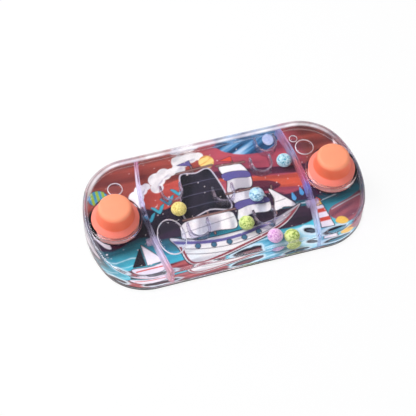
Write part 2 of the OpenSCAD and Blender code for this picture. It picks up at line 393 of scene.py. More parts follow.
@dataclass(frozen=True, kw_only=True)
class DrawnWall(VeiledPlastic):
    """Crystal polystyrene divider seen edge on, with painted streaks along it: painted reflections of the
    colours around.

    At places along the wall, hues gives the colours of the painted reflections, and greys how plainly
    they show there, white for most.
    """

    glass: str = "f2f0f8"
    shadow: str = "f0eef6"
    roughness: float = 0.03
    middle_x: float
    radius: float
    half_w: float
    reflection_hues: Stops
    greys: Stops
    streak_w: float = 0.42
    streak_span: Point = (0.45, 0.6)
    stretch: Point = (0.03, 0.25)
    faces: Point = (0.55, 0.95)
    face_highlight: float = 0.14
    veil: Point = (0.04, 0.85)

    def surface(self, tree: Tree) -> Node:
        """Adds painted reflections in streaks that run along the curved wall, with a painted highlight at its
        two faces.

        Args:
            tree: The material's tree.

        Returns:
            The surface.
        """
        x, y, z = add_node(tree, "ShaderNodeSeparateXYZ", (object_mm(tree),)).outputs
        away = add_node(tree, "ShaderNodeMath", (x,), operation="ABSOLUTE")
        from_axis = add_node(tree, "ShaderNodeMath", (away, self.middle_x - self.radius),
                             operation="SUBTRACT")
        spoke = add_node(tree, "ShaderNodeCombineXYZ", (from_axis, y))
        length = add_node(tree, "ShaderNodeVectorMath", (spoke,), operation="LENGTH").outputs["Value"]
        across = add_node(tree, "ShaderNodeMath", (length, self.radius), operation="SUBTRACT")
        along, tall = (add_node(tree, "ShaderNodeMath", pair, operation="MULTIPLY")
                       for pair in zip((y, z), self.stretch))
        drawn = add_node(tree, "ShaderNodeCombineXYZ", (across, along, tall))
        face = add_node(tree, "ShaderNodeMath", (across,), operation="ABSOLUTE")
        # painted highlight: the streaks brighten at the wall's two faces
        lift = add_node(tree, "ShaderNodeMapRange", (face, *self.faces, 0.0, self.face_highlight))
        raised = add_node(tree, "ShaderNodeMath", (mottle(tree, self.streak_w, 2.0, drawn), lift),
                          operation="ADD")
        streak = add_node(tree, "ShaderNodeMapRange", (raised, *self.streak_span, *self.veil))
        part = add_node(tree, "ShaderNodeMapRange", (y, -self.half_w, self.half_w))
        hue, seen = (add_node(tree, "ShaderNodeValToRGB", (part,),
                              [(place / (2 * self.half_w) + 0.5, tone) for place, tone in row])
                     for row in (self.reflection_hues, self.greys))
        share = add_node(tree, "ShaderNodeMath", (streak, seen), operation="MULTIPLY")
        return self.veiled(tree, share, hue)


@dataclass(frozen=True, kw_only=True)
class SoftRubber(Finish):
    """A soft moulded stuff: matt with a fine grain, and a little light travels inside it."""

    grain: float
    relief: float
    roughness: Point
    ior: float
    glow: float
    glow_tint: Triple
    glow_depth: float

    def rubber(self, tree: Tree, tone: Source) -> Node:
        """Gives the rubber in its colour.

        Args:
            tree: The material's tree.
            tone: The colour.

        Returns:
            The surface.
        """
        grain = mottle(tree, self.grain, 2.0)
        rough = add_node(tree, "ShaderNodeMapRange", (grain, 0.0, 1.0, *self.roughness))
        return self.grained(tree, grain, self.relief, {
            "Base Color": tone, "Roughness": rough, "IOR": self.ior, "Subsurface Weight": self.glow,
            "Subsurface Radius": self.glow_tint, "Subsurface Scale": self.glow_depth * MM})


@dataclass(frozen=True, kw_only=True)
class Silicone(SoftRubber):
    """Coral silicone rubber, compression moulded: matt, a little translucent, with a faint dusty grain.

    The tones are colours at heights on the unpressed button, with painted light in them: a paler top where
    the light falls, and a paler neck that makes up for the brim's shade.
    """

    name: str = "coral_silicone_rubber"
    attribute: str = "rest_height"
    # painted light: the top from 26 mm up is paler as a painted highlight, and the neck up to 15.6 mm is
    # paler as painted light under the brim's shade
    tones: Stops = ((8.0, "ffb0a4"), (15.6, "ffaca0"), (16.1, "f28576"), (18.4, "f2806e"), (18.6, "f57353"),
                    (24.5, "f87856"), (26.0, "f29672"), (27.0, "f29672"))
    patch_w: float = 6.0
    patch_span: Point = (0.3, 0.7)
    patch: Point = (0.96, 1.02)
    grain: float = 0.35
    relief: float = 0.02
    roughness: Point = (0.5, 0.62)
    ior: float = 1.41
    glow: float = 0.25
    glow_tint: Triple = (1.0, 0.35, 0.2)
    glow_depth: float = 1.2

    def surface(self, tree: Tree) -> Node:
        """Adds the tones, with their painted light, in faint patches.

        Args:
            tree: The material's tree.

        Returns:
            The surface.
        """
        low, high = self.tones[0][0], self.tones[-1][0]
        rest = add_node(tree, "ShaderNodeAttribute", attribute_name=self.attribute).outputs["Fac"]
        part = add_node(tree, "ShaderNodeMapRange", (rest, low, high))
        tone = add_node(tree, "ShaderNodeValToRGB", (part,),
                        [((z - low) / (high - low), colour) for z, colour in self.tones])
        patch = add_node(tree, "ShaderNodeMapRange", (
            mottle(tree, self.patch_w), *self.patch_span, *self.patch))
        patchy = add_node(tree, "ShaderNodeVectorMath", {0: tone, "Scale": patch}, operation="SCALE")
        return self.rubber(tree, patchy)


@dataclass(frozen=True, kw_only=True)
class BallRubber(SoftRubber):
    """Soft vinyl, rotation moulded with a wrinkled skin: matt, with painted shade that makes the grooves
    darker than the ridges.
    """

    ridge: str
    groove: str
    span: Point = (0.15, 0.85)
    attribute: str = "groove"
    grain: float = 0.3
    relief: float = 0.015
    roughness: Point = (0.42, 0.6)
    ior: float = 1.2
    glow: float = 0.2
    glow_tint: Triple = (0.6, 0.6, 0.6)
    glow_depth: float = 0.8

    def surface(self, tree: Tree) -> Node:
        """Adds the ridge colour, and the darker colour of painted shade in the grooves, by the depth that the
        mesh carries.

        Args:
            tree: The material's tree.

        Returns:
            The surface.
        """
        depth = add_node(tree, "ShaderNodeAttribute", attribute_name=self.attribute).outputs["Fac"]
        # painted shade: the colour in the grooves is darker than the ridge colour
        stops = list(zip(self.span, (self.ridge, self.groove)))
        return self.rubber(tree, add_node(tree, "ShaderNodeValToRGB", (depth,), stops))


@dataclass(frozen=True, kw_only=True)
class PrintedCard(Finish):
    """Coated board, offset printed: flat inks on a fine grain, with a faint sheen."""

    name: str = "offset_printed_card"
    attribute: str = "print"
    grain: float = 0.4
    grain_span: Point = (0.3, 0.7)
    shade: Point = (0.92, 1.06)
    relief: float = 0.01
    roughness: float = 0.45
    ior: float = 1.15

    def surface(self, tree: Tree) -> Node:
        """Adds the inks that the mesh carries.

        Args:
            tree: The material's tree.

        Returns:
            The surface.
        """
        inks = add_node(tree, "ShaderNodeAttribute", attribute_name=self.attribute).outputs["Color"]
        grain = mottle(tree, self.grain, 2.0)
        fibre = add_node(tree, "ShaderNodeMapRange", (grain, *self.grain_span, *self.shade))
        tone = add_node(tree, "ShaderNodeVectorMath", {0: inks, "Scale": fibre}, operation="SCALE")
        return self.grained(tree, grain, self.relief, {
            "Base Color": tone, "Roughness": self.roughness, "IOR": self.ior})


@dataclass(frozen=True, kw_only=True)
class PlainMatt(Finish):
    """An unpainted matt stuff whose grain shows in its tone and in its relief."""

    grain: float
    detail: float
    tones: Stops
    relief: float
    roughness: float
    ior: float

    def surface(self, tree: Tree) -> Node:
        """Adds the grained surface.

        Args:
            tree: The material's tree.

        Returns:
            The surface.
        """
        grain = mottle(tree, self.grain, self.detail)
        tone = add_node(tree, "ShaderNodeValToRGB", (grain,), self.tones)
        return self.grained(tree, grain, self.relief, {
            "Base Color": tone, "Roughness": self.roughness, "IOR": self.ior})


@dataclass(frozen=True, kw_only=True)
class BareBoard(PlainMatt):
    """The uncoated side of the card: greyish white, rough, with visible fibres."""

    name: str = "uncoated_board"
    grain: float = 0.5
    detail: float = 4.0
    tones: Stops = ((0.3, "d3d0cd"), (0.7, "ecebe8"))
    relief: float = 0.03
    roughness: float = 0.8
    ior: float = 1.3


@dataclass(frozen=True, kw_only=True)
class PlugRubber(PlainMatt):
    """White silicone, moulded: matt with a faint grain."""

    name: str = "white_silicone_rubber"
    grain: float = 0.4
    detail: float = 2.0
    tones: Stops = ((0.3, "e2e1dd"), (0.7, "efeeea"))
    relief: float = 0.02
    roughness: float = 0.55
    ior: float = 1.41


@dataclass(frozen=True, kw_only=True)
class PaleFloor(Finish):
    """White paper sweep: matt, with the object's soft shadow, and nearly white to the camera."""

    name: str = "pale_floor"
    tone: str = "e4e4e4"
    lift: float = 0.88

    def surface(self, tree: Tree) -> Node:
        """Adds matt paper that is lifted towards white where it is seen, also through the glass.

        Args:
            tree: The material's tree.

        Returns:
            The surface.
        """
        rays = add_node(tree, "ShaderNodeLightPath").outputs
        seen = add_node(tree, "ShaderNodeMath", (rays["Is Camera Ray"], rays["Is Transmission Ray"]),
                        operation="MAXIMUM")
        share = add_node(tree, "ShaderNodeMath", (seen, self.lift), operation="MULTIPLY")
        matt = add_node(tree, "ShaderNodeBsdfDiffuse", (linear(self.tone),))
        glow = add_node(tree, "ShaderNodeEmission", {"Color": linear(WHITE), "Strength": 1.0})
        return add_node(tree, "ShaderNodeMixShader", (share, matt, glow))


class Painter:
    """Prints inks one over another at the points of a card, in linear colour."""

    FAR = -9.0
    TINY = 1e-12
    OCTAVES = ((1, 0.6), (2, 0.28), (4, 0.12))
    TABLE = 64

    def __init__(self, places: np.ndarray) -> None:
        """Starts a bare print.

        Args:
            places: The points of the card in millimetres, one row each.
        """
        self.x, self.y = places[:, 0], places[:, 1]
        self.colour = np.ones((len(places), 3))

    def drift(self, seed: int, along: float, across: float, turn: float = 0.0) -> np.ndarray:
        """Gives a smooth random field from 0 to 1, such as the streaks of a brush.

        Args:
            seed: Which field it is.
            along: The length of a streak in millimetres.
            across: The width of a streak in millimetres.
            turn: The direction of the streaks, in degrees from +X.

        Returns:
            The field at each point.
        """
        c, s = math.cos(math.radians(turn)), math.sin(math.radians(turn))
        n = self.TABLE
        total = np.zeros(len(self.x))
        for octave, share in self.OCTAVES:
            table = np.random.default_rng(seed + 100 * octave).random((n, n))
            u = (self.x * c + self.y * s) / along * octave
            v = (self.y * c - self.x * s) / across * octave
            i, j = np.floor(u).astype(int), np.floor(v).astype(int)
            fu, fv = ease(u - i), ease(v - j)
            low, high = (table[i % n, k % n] * (1 - fu) + table[(i + 1) % n, k % n] * fu
                         for k in (j, j + 1))
            total += share * (low * (1 - fv) + high * fv)
        return total

    def shades(self, value: np.ndarray, stops: Stops) -> np.ndarray:
        """Turns a field into colours.

        Args:
            value: The field.
            stops: Each stop's value, rising, and its sRGB hex colour.

        Returns:
            A linear colour for each point.
        """
        inks = np.array([linear(colour)[:3] for _, colour in stops])
        return np.stack([np.interp(value, [v for v, _ in stops], inks[:, k]) for k in range(3)], 1)

    def level(self, stops: list[Point]) -> np.ndarray:
        """Gives how far each point lies below a broken line of places x and heights y."""
        return np.interp(self.x, *zip(*stops)) - self.y

    def to_chord(self, x: np.ndarray, y: np.ndarray, start: Point, end: Point) -> np.ndarray:
        """Gives the distance of points to the straight line between two places.

        Args:
            x: The points.
            y: The points.
            start: One place.
            end: The other.

        Returns:
            The distance of each point.
        """
        x, y, ex, ey = x - start[0], y - start[1], end[0] - start[0], end[1] - start[1]
        t = np.clip((x * ex + y * ey) / (ex * ex + ey * ey + self.TINY), 0, 1)
        return np.hypot(x - t * ex, y - t * ey)

    def shape(self, corners: list[Point] | np.ndarray) -> np.ndarray:
        """Gives the distance inside a straight-sided shape.

        Args:
            corners: Its corners in order.

        Returns:
            The distance inside its edge, below zero outside.
        """
        corners = np.asarray(corners, float)
        low, high = corners.min(0) + self.FAR / 2, corners.max(0) - self.FAR / 2
        near = (self.x > low[0]) & (self.x < high[0]) & (self.y > low[1]) & (self.y < high[1])
        x, y = self.x[near], self.y[near]
        away, inside = np.full(len(x), -self.FAR), np.zeros(len(x), bool)
        for (ax, ay), (bx, by) in zip(corners, np.roll(corners, -1, 0)):
            away = np.minimum(away, self.to_chord(x, y, (ax, ay), (bx, by)))
            if ay != by:
                inside ^= ((ay > y) != (by > y)) & (x < (bx - ax) * (y - ay) / (by - ay) + ax)
        result = np.full(len(self.x), self.FAR)
        result[near] = np.where(inside, away, -away)
        return result

    def curve(self, points: list[Point], steps: int = 5) -> np.ndarray:
        """Gives the distance inside a smooth closed curve through the points.

        Args:
            points: What the curve passes through, in order.
            steps: How many chords lie between two points.

        Returns:
            The distance inside the curve.
        """
        p = np.asarray(points, float)
        a, c, d = np.roll(p, 1, 0), np.roll(p, -1, 0), np.roll(p, -2, 0)
        rows = [0.5 * (2 * p + (c - a) * t + (2 * a - 5 * p + 4 * c - d) * t ** 2
                       + (3 * p - a - 3 * c + d) * t ** 3) for t in np.arange(steps) / steps]
        return self.shape(np.stack(rows, 1).reshape(-1, 2))

    def oval(self, x: float, y: float, rx: float, ry: float, turn: float = 0.0) -> np.ndarray:
        """Gives about the distance inside an ellipse.

        Args:
            x: Its middle.
            y: Its middle.
            rx: Its half length.
            ry: Its half width.
            turn: The direction of its length, in degrees from +X.

        Returns:
            The distance inside its edge.
        """
        c, s = math.cos(math.radians(turn)), math.sin(math.radians(turn))
        u = ((self.x - x) * c + (self.y - y) * s) / rx
        v = ((self.y - y) * c - (self.x - x) * s) / ry
        return (1 - np.hypot(u, v)) * min(rx, ry)

    def stroke(self, points: list[Point], width: float) -> np.ndarray:
        """Gives the distance inside a pen stroke.

        Args:
            points: The corners of the stroke's middle.
            width: Its width.

        Returns:
            The distance inside its edge.
        """
        chords = [width / 2 - self.to_chord(self.x, self.y, a, b) for a, b in zip(points, points[1:])]
        return np.maximum(np.max(chords, 0), self.FAR)

    def ink(self, inside: np.ndarray, colour: str | np.ndarray, soft: float = 0.18,
            strength: float | np.ndarray = 1.0) -> None:
        """Prints a shape over what is there.

        Args:
            inside: The distance inside its edge.
            colour: Its sRGB hex colour, or a linear colour for each point.
            soft: How soft its edge is, in millimetres.
            strength: How well the ink covers, everywhere or at each point.
        """
        over = np.array(linear(colour)[:3]) if isinstance(colour, str) else colour
        covered = ease(np.clip((inside + soft) / (2 * soft), 0, 1)) * strength
        self.colour += covered[:, None] * (over - self.colour)

    def outlined(self, inside: np.ndarray, colour: str | np.ndarray, line: float = 0.45,
                 pen: str = "26202f") -> None:
        """Prints a shape with a line round it.

        Args:
            inside: The distance inside its edge.
            colour: Its colour.
            line: The width of the line, in millimetres.
            pen: The colour of the line.
        """
        self.ink(inside + line, pen)
        self.ink(inside, colour)


@dataclass(frozen=True)
class SeaPicture:
    """The picture on the card: a ship on a sea at sunset, with clouds, rocks and small boats.

    Its shapes are written in millimetres on the card.
    """

    plan: list[Point]
    # painted shade: a dark blue band round the card, which the clear wall shows
    wall_shade_w: float = 1.2
    wall_shade_ink: str = "363f6c"
    wall_shade_strength: float = 0.75
    wall_shade_fade: Point = (29.0, 12.0)
    bow: float = 0.0072

    def paint(self, places: np.ndarray) -> np.ndarray:
        """Paints the whole picture.

        Args:
            places: The points of the card in millimetres.

        Returns:
            A linear colour for each point.
        """
        p = Painter(places)
        for layer in (self.sky, self.sea, self.surf, self.clouds, self.small_things, self.ship, self.specks,
                      self.edge):
            layer(p)
        return p.colour

    def sky(self, p: Painter) -> None:
        """Prints the warm streaks, the blue cloud bank and the dusk below them.

        Args:
            p: The print.
        """
        brown = p.shades(p.drift(11, 42, 4.5, -3), [(0.3, "6e3230"), (0.48, "8a4038"), (0.66, "a34d42")])
        rose = p.shades(p.drift(12, 38, 5.5, -9), [(0.3, "8a3f53"), (0.5, "a5495a"), (0.68, "bd5562")])
        p.ink(np.ones(len(p.x)), brown)
        p.ink(p.x + 6 * p.drift(13, 9, 9), rose, soft=8.0)
        p.ink(p.x - 50 + 6 * p.drift(16, 9, 9), brown, soft=6.0)
        bank = p.curve([(3, 42), (7, 33), (13, 28.6), (21, 26), (29, 25.6), (36, 28), (40, 33), (43, 42)])
        streaks = p.shades(p.drift(14, 24, 2.0, 24), [(0.3, "1b3c5f"), (0.48, "2f6a96"), (0.62, "5a9cc8"),
                                                      (0.78, "b5d6ea")])
        p.ink(bank, streaks, soft=0.3)
        grain = p.drift(17, 26, 2.2, -9)
        for points, dark, light in [
            ([(-4, 20.5), (18, 17.5), (40, 13.4), (60, 12), (76, 13), (76, 4), (60, 6.5), (40, 8.8),
              (20, 12.8), (0, 16)], "44203a", "5c2a40"),
            ([(0, 15.2), (18, 12.2), (36, 8.6), (52, 7), (54, -1), (38, 0.5), (24, 4), (10, 10.5)],
             "b04a3c", "cf5c42"),
            ([(8, 11), (18, 9.4), (27, 7.2), (31.5, 3.2), (25, 1.4), (12, 4), (6, 8)], "4b1f36", "61283c"),
            ([(-40, 22), (-30, 19), (-17, 20), (-14, 12), (-19, 6), (-30, 4.5), (-38, 9)],
             "b0483f", "c4564a"),
        ]:
            p.ink(p.curve(points), p.shades(grain, [(0.35, dark), (0.65, light)]), soft=0.35)
        dusk = p.level([(-76, 12), (-56, 8), (-42, 8), (-30, 5), (-20, 8), (-6, 9), (6, 4), (20, 0),
                        (34, -2.5), (48, -1), (58, 2), (76, 8)])
        night = p.shades(p.drift(15, 30, 4, 5), [(0.35, "201a2b"), (0.65, "3a2540")])
        p.ink(dusk + 3 * (p.drift(18, 14, 3) - 0.5), night, soft=0.5)

    def sea(self, p: Painter) -> None:
        """Prints the teal water, the dark swell in it and the red and blue shallows.

        Args:
            p: The print.
        """
        depth = p.level([(-76, -8), (-62, -12), (-47, -8), (-36, -12), (-10, -13), (8, -7), (26, -8),
                         (44, -9), (58, -6), (76, -1)]) + 2.4 * (p.drift(21, 20, 2.4, 8) - 0.5)
        water = p.shades(depth + 9 * (p.drift(22, 24, 2.6, 6) - 0.5),
                         [(0, "1f4656"), (4, "236f7e"), (9, "3c9fb2"), (15, "49bccd")])
        p.ink(depth, water, soft=0.6)
        swell = p.curve([(8, -10.5), (26, -10.8), (42, -13), (46, -17.5), (37, -22.5), (20, -22), (10, -17)])
        p.ink(swell, p.shades(p.drift(23, 18, 3, -4), [(0.35, "241c2b"), (0.65, "3b2a3c")]), soft=0.4)
        reds = p.shades(p.drift(24, 20, 1.8, 5), [(0.3, "6a2a34"), (0.48, "98454a"), (0.66, "bb6260")])
        p.ink(p.level([(-76, -22), (-56, -25.5), (-40, -27), (-20, -26), (-8, -31), (0, -44), (76, -44)]),
              reds, soft=0.4)
        p.ink(p.curve([(52, -17), (62, -14), (76, -10), (76, -30), (58, -27), (50, -22)]),
              p.shades(p.drift(25, 16, 1.8, 20), [(0.35, "744353"), (0.65, "9a5862")]), soft=0.5)
        pale = p.shades(p.drift(26, 16, 1.9, 7), [(0.3, "3f8ba6"), (0.48, "62b4cb"), (0.64, "a8dbe6")])
        p.ink(p.level([(-76, -44), (-14, -44), (-4, -28), (14, -24.5), (34, -24), (48, -27), (60, -31),
                       (76, -31)]), pale, soft=0.5)

    def surf(self, p: Painter) -> None:
        """Prints dark rocks with foam round them, and pale crests.

        Args:
            p: The print.
        """
        for x, y, rx, ry, turn, core in [
            (2, -31.2, 8.6, 2.5, 10, "70363f"), (49.5, -30.6, 7.6, 2.0, 8, "3f8fa3"),
            (-42, -31.8, 9.0, 1.6, -3, "4a2a34"), (28, -33.0, 7.0, 1.5, 4, "2f6d8a"),
            (-62, -25.0, 5.5, 1.3, -38, "4a2a34"), (37, -27.0, 3.4, 1.6, -20, "4b5a66"),
        ]:
            wave = 0.8 * (p.drift(31, 2.6, 2.6) - 0.5)
            p.ink(p.oval(x, y, rx + 1.6, ry + 1.5, turn) + wave, "cfe9ee", soft=0.4, strength=0.85)
            p.ink(p.oval(x, y, rx, ry, turn) + wave, "241e29", soft=0.2)
            p.ink(p.oval(x + 0.6, y - 0.4, rx * 0.8, ry * 0.45, turn) + wave, core, soft=0.3)
        for points, width in [
            ([(-70, -17), (-62, -19.5), (-54, -18.5), (-46, -20.5)], 0.5),
            ([(-66, -22), (-57, -23.2), (-50, -22)], 0.35),
            ([(8, -9.6), (20, -8.8), (34, -10), (46, -11)], 0.5),
            ([(46, -12), (56, -10), (68, -6)], 0.4),
            ([(52, -18), (60, -15.5), (69, -13)], 0.35),
            ([(-6, -27.5), (6, -26), (22, -25.6), (38, -24.4)], 0.5),
        ]:
            crest = p.stroke(points, width) + 0.3 * (p.drift(32, 3, 3) - 0.5)
            p.ink(crest, "d4edf2", soft=0.35, strength=0.8)

    def clouds(self, p: Painter) -> None:
        """Prints a row of white clouds that climbs to the back, and a tall white shape at the left.

        Args:
            p: The print.
        """
        for x, y, size, turn in [(-40.5, 16, 1.0, 58), (-27.5, 22.8, 1.12, 40), (-12.5, 30.2, 1.2, 25)]:
            c, s = math.cos(math.radians(turn)), math.sin(math.radians(turn))
            puffs = 0.5 * (p.drift(41, 3, 3) - 0.5) + np.max([
                p.oval(x + size * (a * c - b * s), y + size * (a * s + b * c), r * size, r * size * 0.92)
                for a, b, r in [(-4.6, -1.2, 3.0), (-1.2, 1.4, 4.0), (3.4, 0.4, 3.4), (6.4, -1.6, 2.2)]], 0)
            white = p.shades(p.drift(42, 8, 5, turn), [(0.35, "d2d5d5"), (0.55, "f0f4f0")])
            p.ink(puffs, white, soft=0.2)
            shade = p.oval(x + 1.6 * s, y - 1.9 * c, 5.0, 1.2, turn)
            p.ink(np.minimum(puffs - 1.2, shade), "b9b8c6", soft=0.4)
        p.ink(p.curve([(-69.5, 5), (-67.2, 8.6), (-65.2, 3), (-63.4, -4), (-62.2, -10.5), (-65, -9.2),
                       (-68.2, -4), (-69.8, 0)]), "f0eff3", soft=0.2)

    def small_things(self, p: Painter) -> None:
        """Prints a sun, a balloon, teal birds, blue drops, a small boat and a lighthouse.

        Args:
            p: The print.
        """
        sun = p.oval(-1.6, 27.2, 4.0, 4.0)
        p.ink(sun, p.shades(p.drift(51, 6, 1.1, 18), [(0.35, "d9984a"), (0.6, "f4dc86")]))
        balloon = p.oval(-61.5, 20.2, 4.5, 5.0, 80)
        p.outlined(balloon, "3f8fb4", 0.3)
        for shift in (-2.6, 0.3, 3.1):
            p.ink(np.minimum(balloon, 0.75 - np.abs(p.x + 61.5 - shift)), "93b23f")
        p.outlined(p.shape([(-62.5, 13.6), (-60.7, 13.6), (-60.9, 11.9), (-62.3, 11.9)]), "c98a4d", 0.25)
        for x, y, size in [(-39, 1.6, 1.1), (-33.4, 5.4, 1.15), (-27.4, 9.2, 1.2), (-20.6, 13.2, 1.25)]:
            wings = [(-3.0, 1.9), (-1.2, 1.2), (0.0, -0.4), (1.3, 1.4), (3.1, 2.3), (1.6, -0.6), (0.1, -2.2),
                     (-1.5, -0.5)]
            p.outlined(p.curve([(x + size * a, y + size * b) for a, b in wings]), "3fa6ba", 0.25, "1d3d4c")
        for x, y in [(35.6, -5.6), (40.4, -3.6), (44.2, -1.0)]:
            drop = [(0, 2.9), (0.9, 0.4), (1.1, -1.2), (0, -2.3), (-1.1, -1.2), (-0.9, 0.4)]
            p.ink(p.curve([(x + a, y + b) for a, b in drop]), "4f9fd0")
        p.outlined(p.shape([(-47.4, -12.6), (-38.4, -24), (-47.2, -24.6)]), "f0eff4")
        p.outlined(p.shape([(-48.6, -14.6), (-54.2, -23.8), (-48.4, -24.4)]), "1f1d27")
        boat = p.curve([(-55.5, -25.2), (-46, -25.9), (-37, -25), (-40.5, -29.4), (-51, -29.6)])
        p.outlined(boat, "e3e2ea")
        p.ink(p.stroke([(-53.6, -27), (-39.6, -27)], 0.7), "c9483c")
        tower = p.shape([(43.6, -27), (50.2, -27.4), (48.4, -14.2), (45.0, -14)])
        p.outlined(tower, "f2f0f3")
        for y in (-17.2, -22.6):
            p.ink(np.minimum(tower, 1.15 - np.abs(p.y - y)), "d6503d")
        p.outlined(p.shape([(45.3, -13.6), (48.2, -13.7), (47.9, -11.4), (45.5, -11.3)]), "f3cf5e", 0.3)
        p.outlined(p.shape([(44.6, -11), (48.8, -11.2), (46.8, -8.9)]), "d6503d", 0.3)
        p.ink(p.curve([(51.5, -25.5), (54, -23.2), (57, -24.2), (58, -27), (54.5, -27.8)]), "ecc25a")

    def ship(self, p: Painter) -> None:
        """Prints the large ship: masts, yards, sails and a planked hull.

        Args:
            p: The print.
        """
        cloth = p.shades(p.drift(61, 13, 4.0, 75), [(0.3, "b8b8bf"), (0.48, "e2e4e4"), (0.62, "f1f4f1")])
        for points in ([(-9.5, -16), (-10.2, 27)], [(9.2, -16), (11.4, 24)], [(24, -13), (26.4, 4)]):
            p.ink(p.stroke(points, 1.5), "26202f")
            p.ink(p.stroke(points, 0.8), "8a6a63")
        dark = p.shades(p.drift(62, 12, 5.0, 70), [(0.3, "15151d"), (0.7, "2a2937")])
        main = p.curve([(-16.5, 22.6), (-9, 21.6), (-2.4, 23), (0.2, 17), (2.2, 6), (2.4, -3.4), (-8, -1.2),
                        (-20.6, -4), (-21.2, 5), (-18.6, 15)])
        p.outlined(main, dark, 0.7, "c9c8d3")
        for height in (16.5, 9.5, 2.6):
            p.ink(np.minimum(main - 0.4, 0.16 - np.abs(p.y - height + 0.004 * (p.x + 9) ** 2)), "5a5870")
        for points in [
            [(-22.5, -5.6), (-9, -4.6), (1.2, -5.4), (3, -10), (1.4, -15.4), (-9, -14.2), (-24.6, -15.4),
             (-25.4, -10)],
            [(3.6, 22), (10, 22.4), (15.4, 20.8), (18, 13), (16.4, 6.4), (10, 7), (3.8, 6), (5.4, 13)],
            [(3.8, 4.4), (11, 5), (18.4, 4.2), (22.6, -2.6), (21.4, -10), (12, -9.4), (4.2, -11.6), (6, -4)],
            [(24.6, 2.4), (29, -2), (35.4, -10.6), (29, -10), (24, -10.8), (25.6, -4)],
        ]:
            sail = p.curve(points)
            p.outlined(sail, cloth, 0.5)
            middle = np.mean(points, 0)
            seam = 0.22 - np.abs(p.y - middle[1] - 0.1 * (p.x - middle[0]))
            p.ink(np.minimum(sail - 0.5, seam), "4d4959", strength=0.7)
        for points in [
            [(3.8, 17.2), (10, 17.8), (17.2, 16), (17.8, 12.4), (10, 13.6), (4.8, 13.2)],
            [(5.6, -1.4), (12, -0.6), (21.6, -1.6), (22.2, -5), (12, -4.2), (5.4, -5.2)],
        ]:
            p.outlined(p.curve(points), "5f5a96", 0.25)
        hull = p.curve([(-32.5, -12.4), (-29.5, -19), (-27.5, -28), (-22, -31.4), (-10, -30), (3, -27),
                        (16, -23.8), (28, -19), (37.5, -10.6), (31, -12.6), (22, -15.4), (4, -17.6),
                        (-16, -17.6), (-26, -14.6)])
        for points in ([(-18.5, 24), (0.5, 24.6)], [(-23, -4.2), (4.4, -4.4)], [(2.6, 23.2), (17.4, 22)],
                       [(2.4, 5.2), (20, 5.2)]):
            p.outlined(p.stroke(points, 0.9), "8a6a63", 0.3)
        planks = p.shades(p.drift(63, 26, 2.2, 5), [(0.3, "a6a8ac"), (0.48, "d0d3d3"), (0.62, "e6eae7")])
        p.outlined(hull, planks, 0.6)
        line = p.y - self.bow * (p.x + 4) ** 2
        for height, width, colour in [(-20.4, 0.9, "5f5a96"), (-24.2, 0.2, "4d4959"), (-27.2, 0.2, "4d4959")]:
            p.ink(np.minimum(hull - 0.4, width - np.abs(line - height)), colour)
        p.ink(np.minimum(np.minimum(hull - 0.5, 1.7 - hull), -22.8 - line), "8e3f47")
        for x in range(-20, 25, 8):
            p.outlined(p.oval(x, -22.4 + self.bow * (x + 4) ** 2, 1.25, 1.25), "3d6c86", 0.35)
        for points, colour in [([(-10, 27), (-17, 29), (-10.2, 30.4)], "5f5a96"),
                               ([(11.4, 24), (5, 26), (11.6, 27.2)], "d6503d")]:
            p.outlined(p.shape(points), colour, 0.25)

    def specks(self, p: Painter) -> None:
        """Prints tiny pale specks of spray.

        Args:
            p: The print.
        """
        chance = np.random.default_rng(71)
        for _ in range(150):
            x, y = chance.uniform(-70, 70), chance.uniform(-33, 34)
            size = chance.choice([0.2, 0.28, 0.42], p=[0.6, 0.3, 0.1])
            p.ink(size - np.hypot(p.x - x, p.y - y), "f4ece9", soft=0.16, strength=0.9)

    def edge(self, p: Painter) -> None:
        """Prints a dark blue band round the edge, a painted shade that the clear wall shows; it fades out
        towards the back.

        Args:
            p: The print.
        """
        bare, full = self.wall_shade_fade
        strength = self.wall_shade_strength * np.clip((bare - p.y) / (bare - full), 0, 1)
        p.ink(self.wall_shade_w - p.shape(self.plan), self.wall_shade_ink, soft=0.4, strength=strength)


def new_object(name: str, data: bpy.types.ID) -> Piece:
    """Makes an object of its data and links it to the scene.

    Args:
        name: The object's name.
        data: Its mesh, camera or light.

    Returns:
        The object.
    """
    made = bpy.data.objects.new(name, data)
    bpy.context.scene.collection.objects.link(made)
    return made


def finished_piece(name: str, mesh: bmesh.types.BMesh, materials: list[Material],
                   sharp: float = 30.0) -> Piece:
    """Makes a piece of a mesh in millimetres, with outward faces.

    Args:
        name: The piece's name.
        mesh: Its mesh in millimetres, which is freed.
        materials: Its material slots.
        sharp: Edges that turn more than this many degrees stay sharp.

    Returns:
        The piece, linked to the scene.
    """
    bmesh.ops.remove_doubles(mesh, verts=mesh.verts, dist=SAME_PLACE)
    bmesh.ops.recalc_face_normals(mesh, faces=mesh.faces)
    bmesh.ops.scale(mesh, vec=(MM, MM, MM), verts=mesh.verts)
    for face in mesh.faces:
        face.smooth = True
    for edge in mesh.edges:
        edge.smooth = edge.is_manifold and edge.calc_face_angle(0.0) < math.radians(sharp)
    data = bpy.data.meshes.new(name)
    mesh.to_mesh(data)
    mesh.free()
    for material in materials:
        data.materials.append(material)
    return new_object(name, data)


def report(piece: Piece) -> None:
    """Logs a finished piece."""
    LOG.info("made %s with %d faces", piece.name, len(piece.data.polygons))


def box_mm(node: str) -> tuple[Vector, Vector]:
    """Gives the low and the high corner of a node in millimetres."""
    low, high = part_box(node)
    return low / MM, high / MM


def arc(x: float, y: float, r: float, start: float, steps: int, turn: float = 90.0) -> list[Point]:
    """Gives the points of an arc.

    Args:
        x: Its middle.
        y: Its middle.
        r: Its radius.
        start: The angle of its first point, in degrees.
        steps: How many chords it has.
        turn: How far it goes round, in degrees.

    Returns:
        The points, both ends among them.
    """
    angles = [math.radians(start + turn * i / steps) for i in range(steps + 1)]
    return [(x + r * math.cos(a), y + r * math.sin(a)) for a in angles]


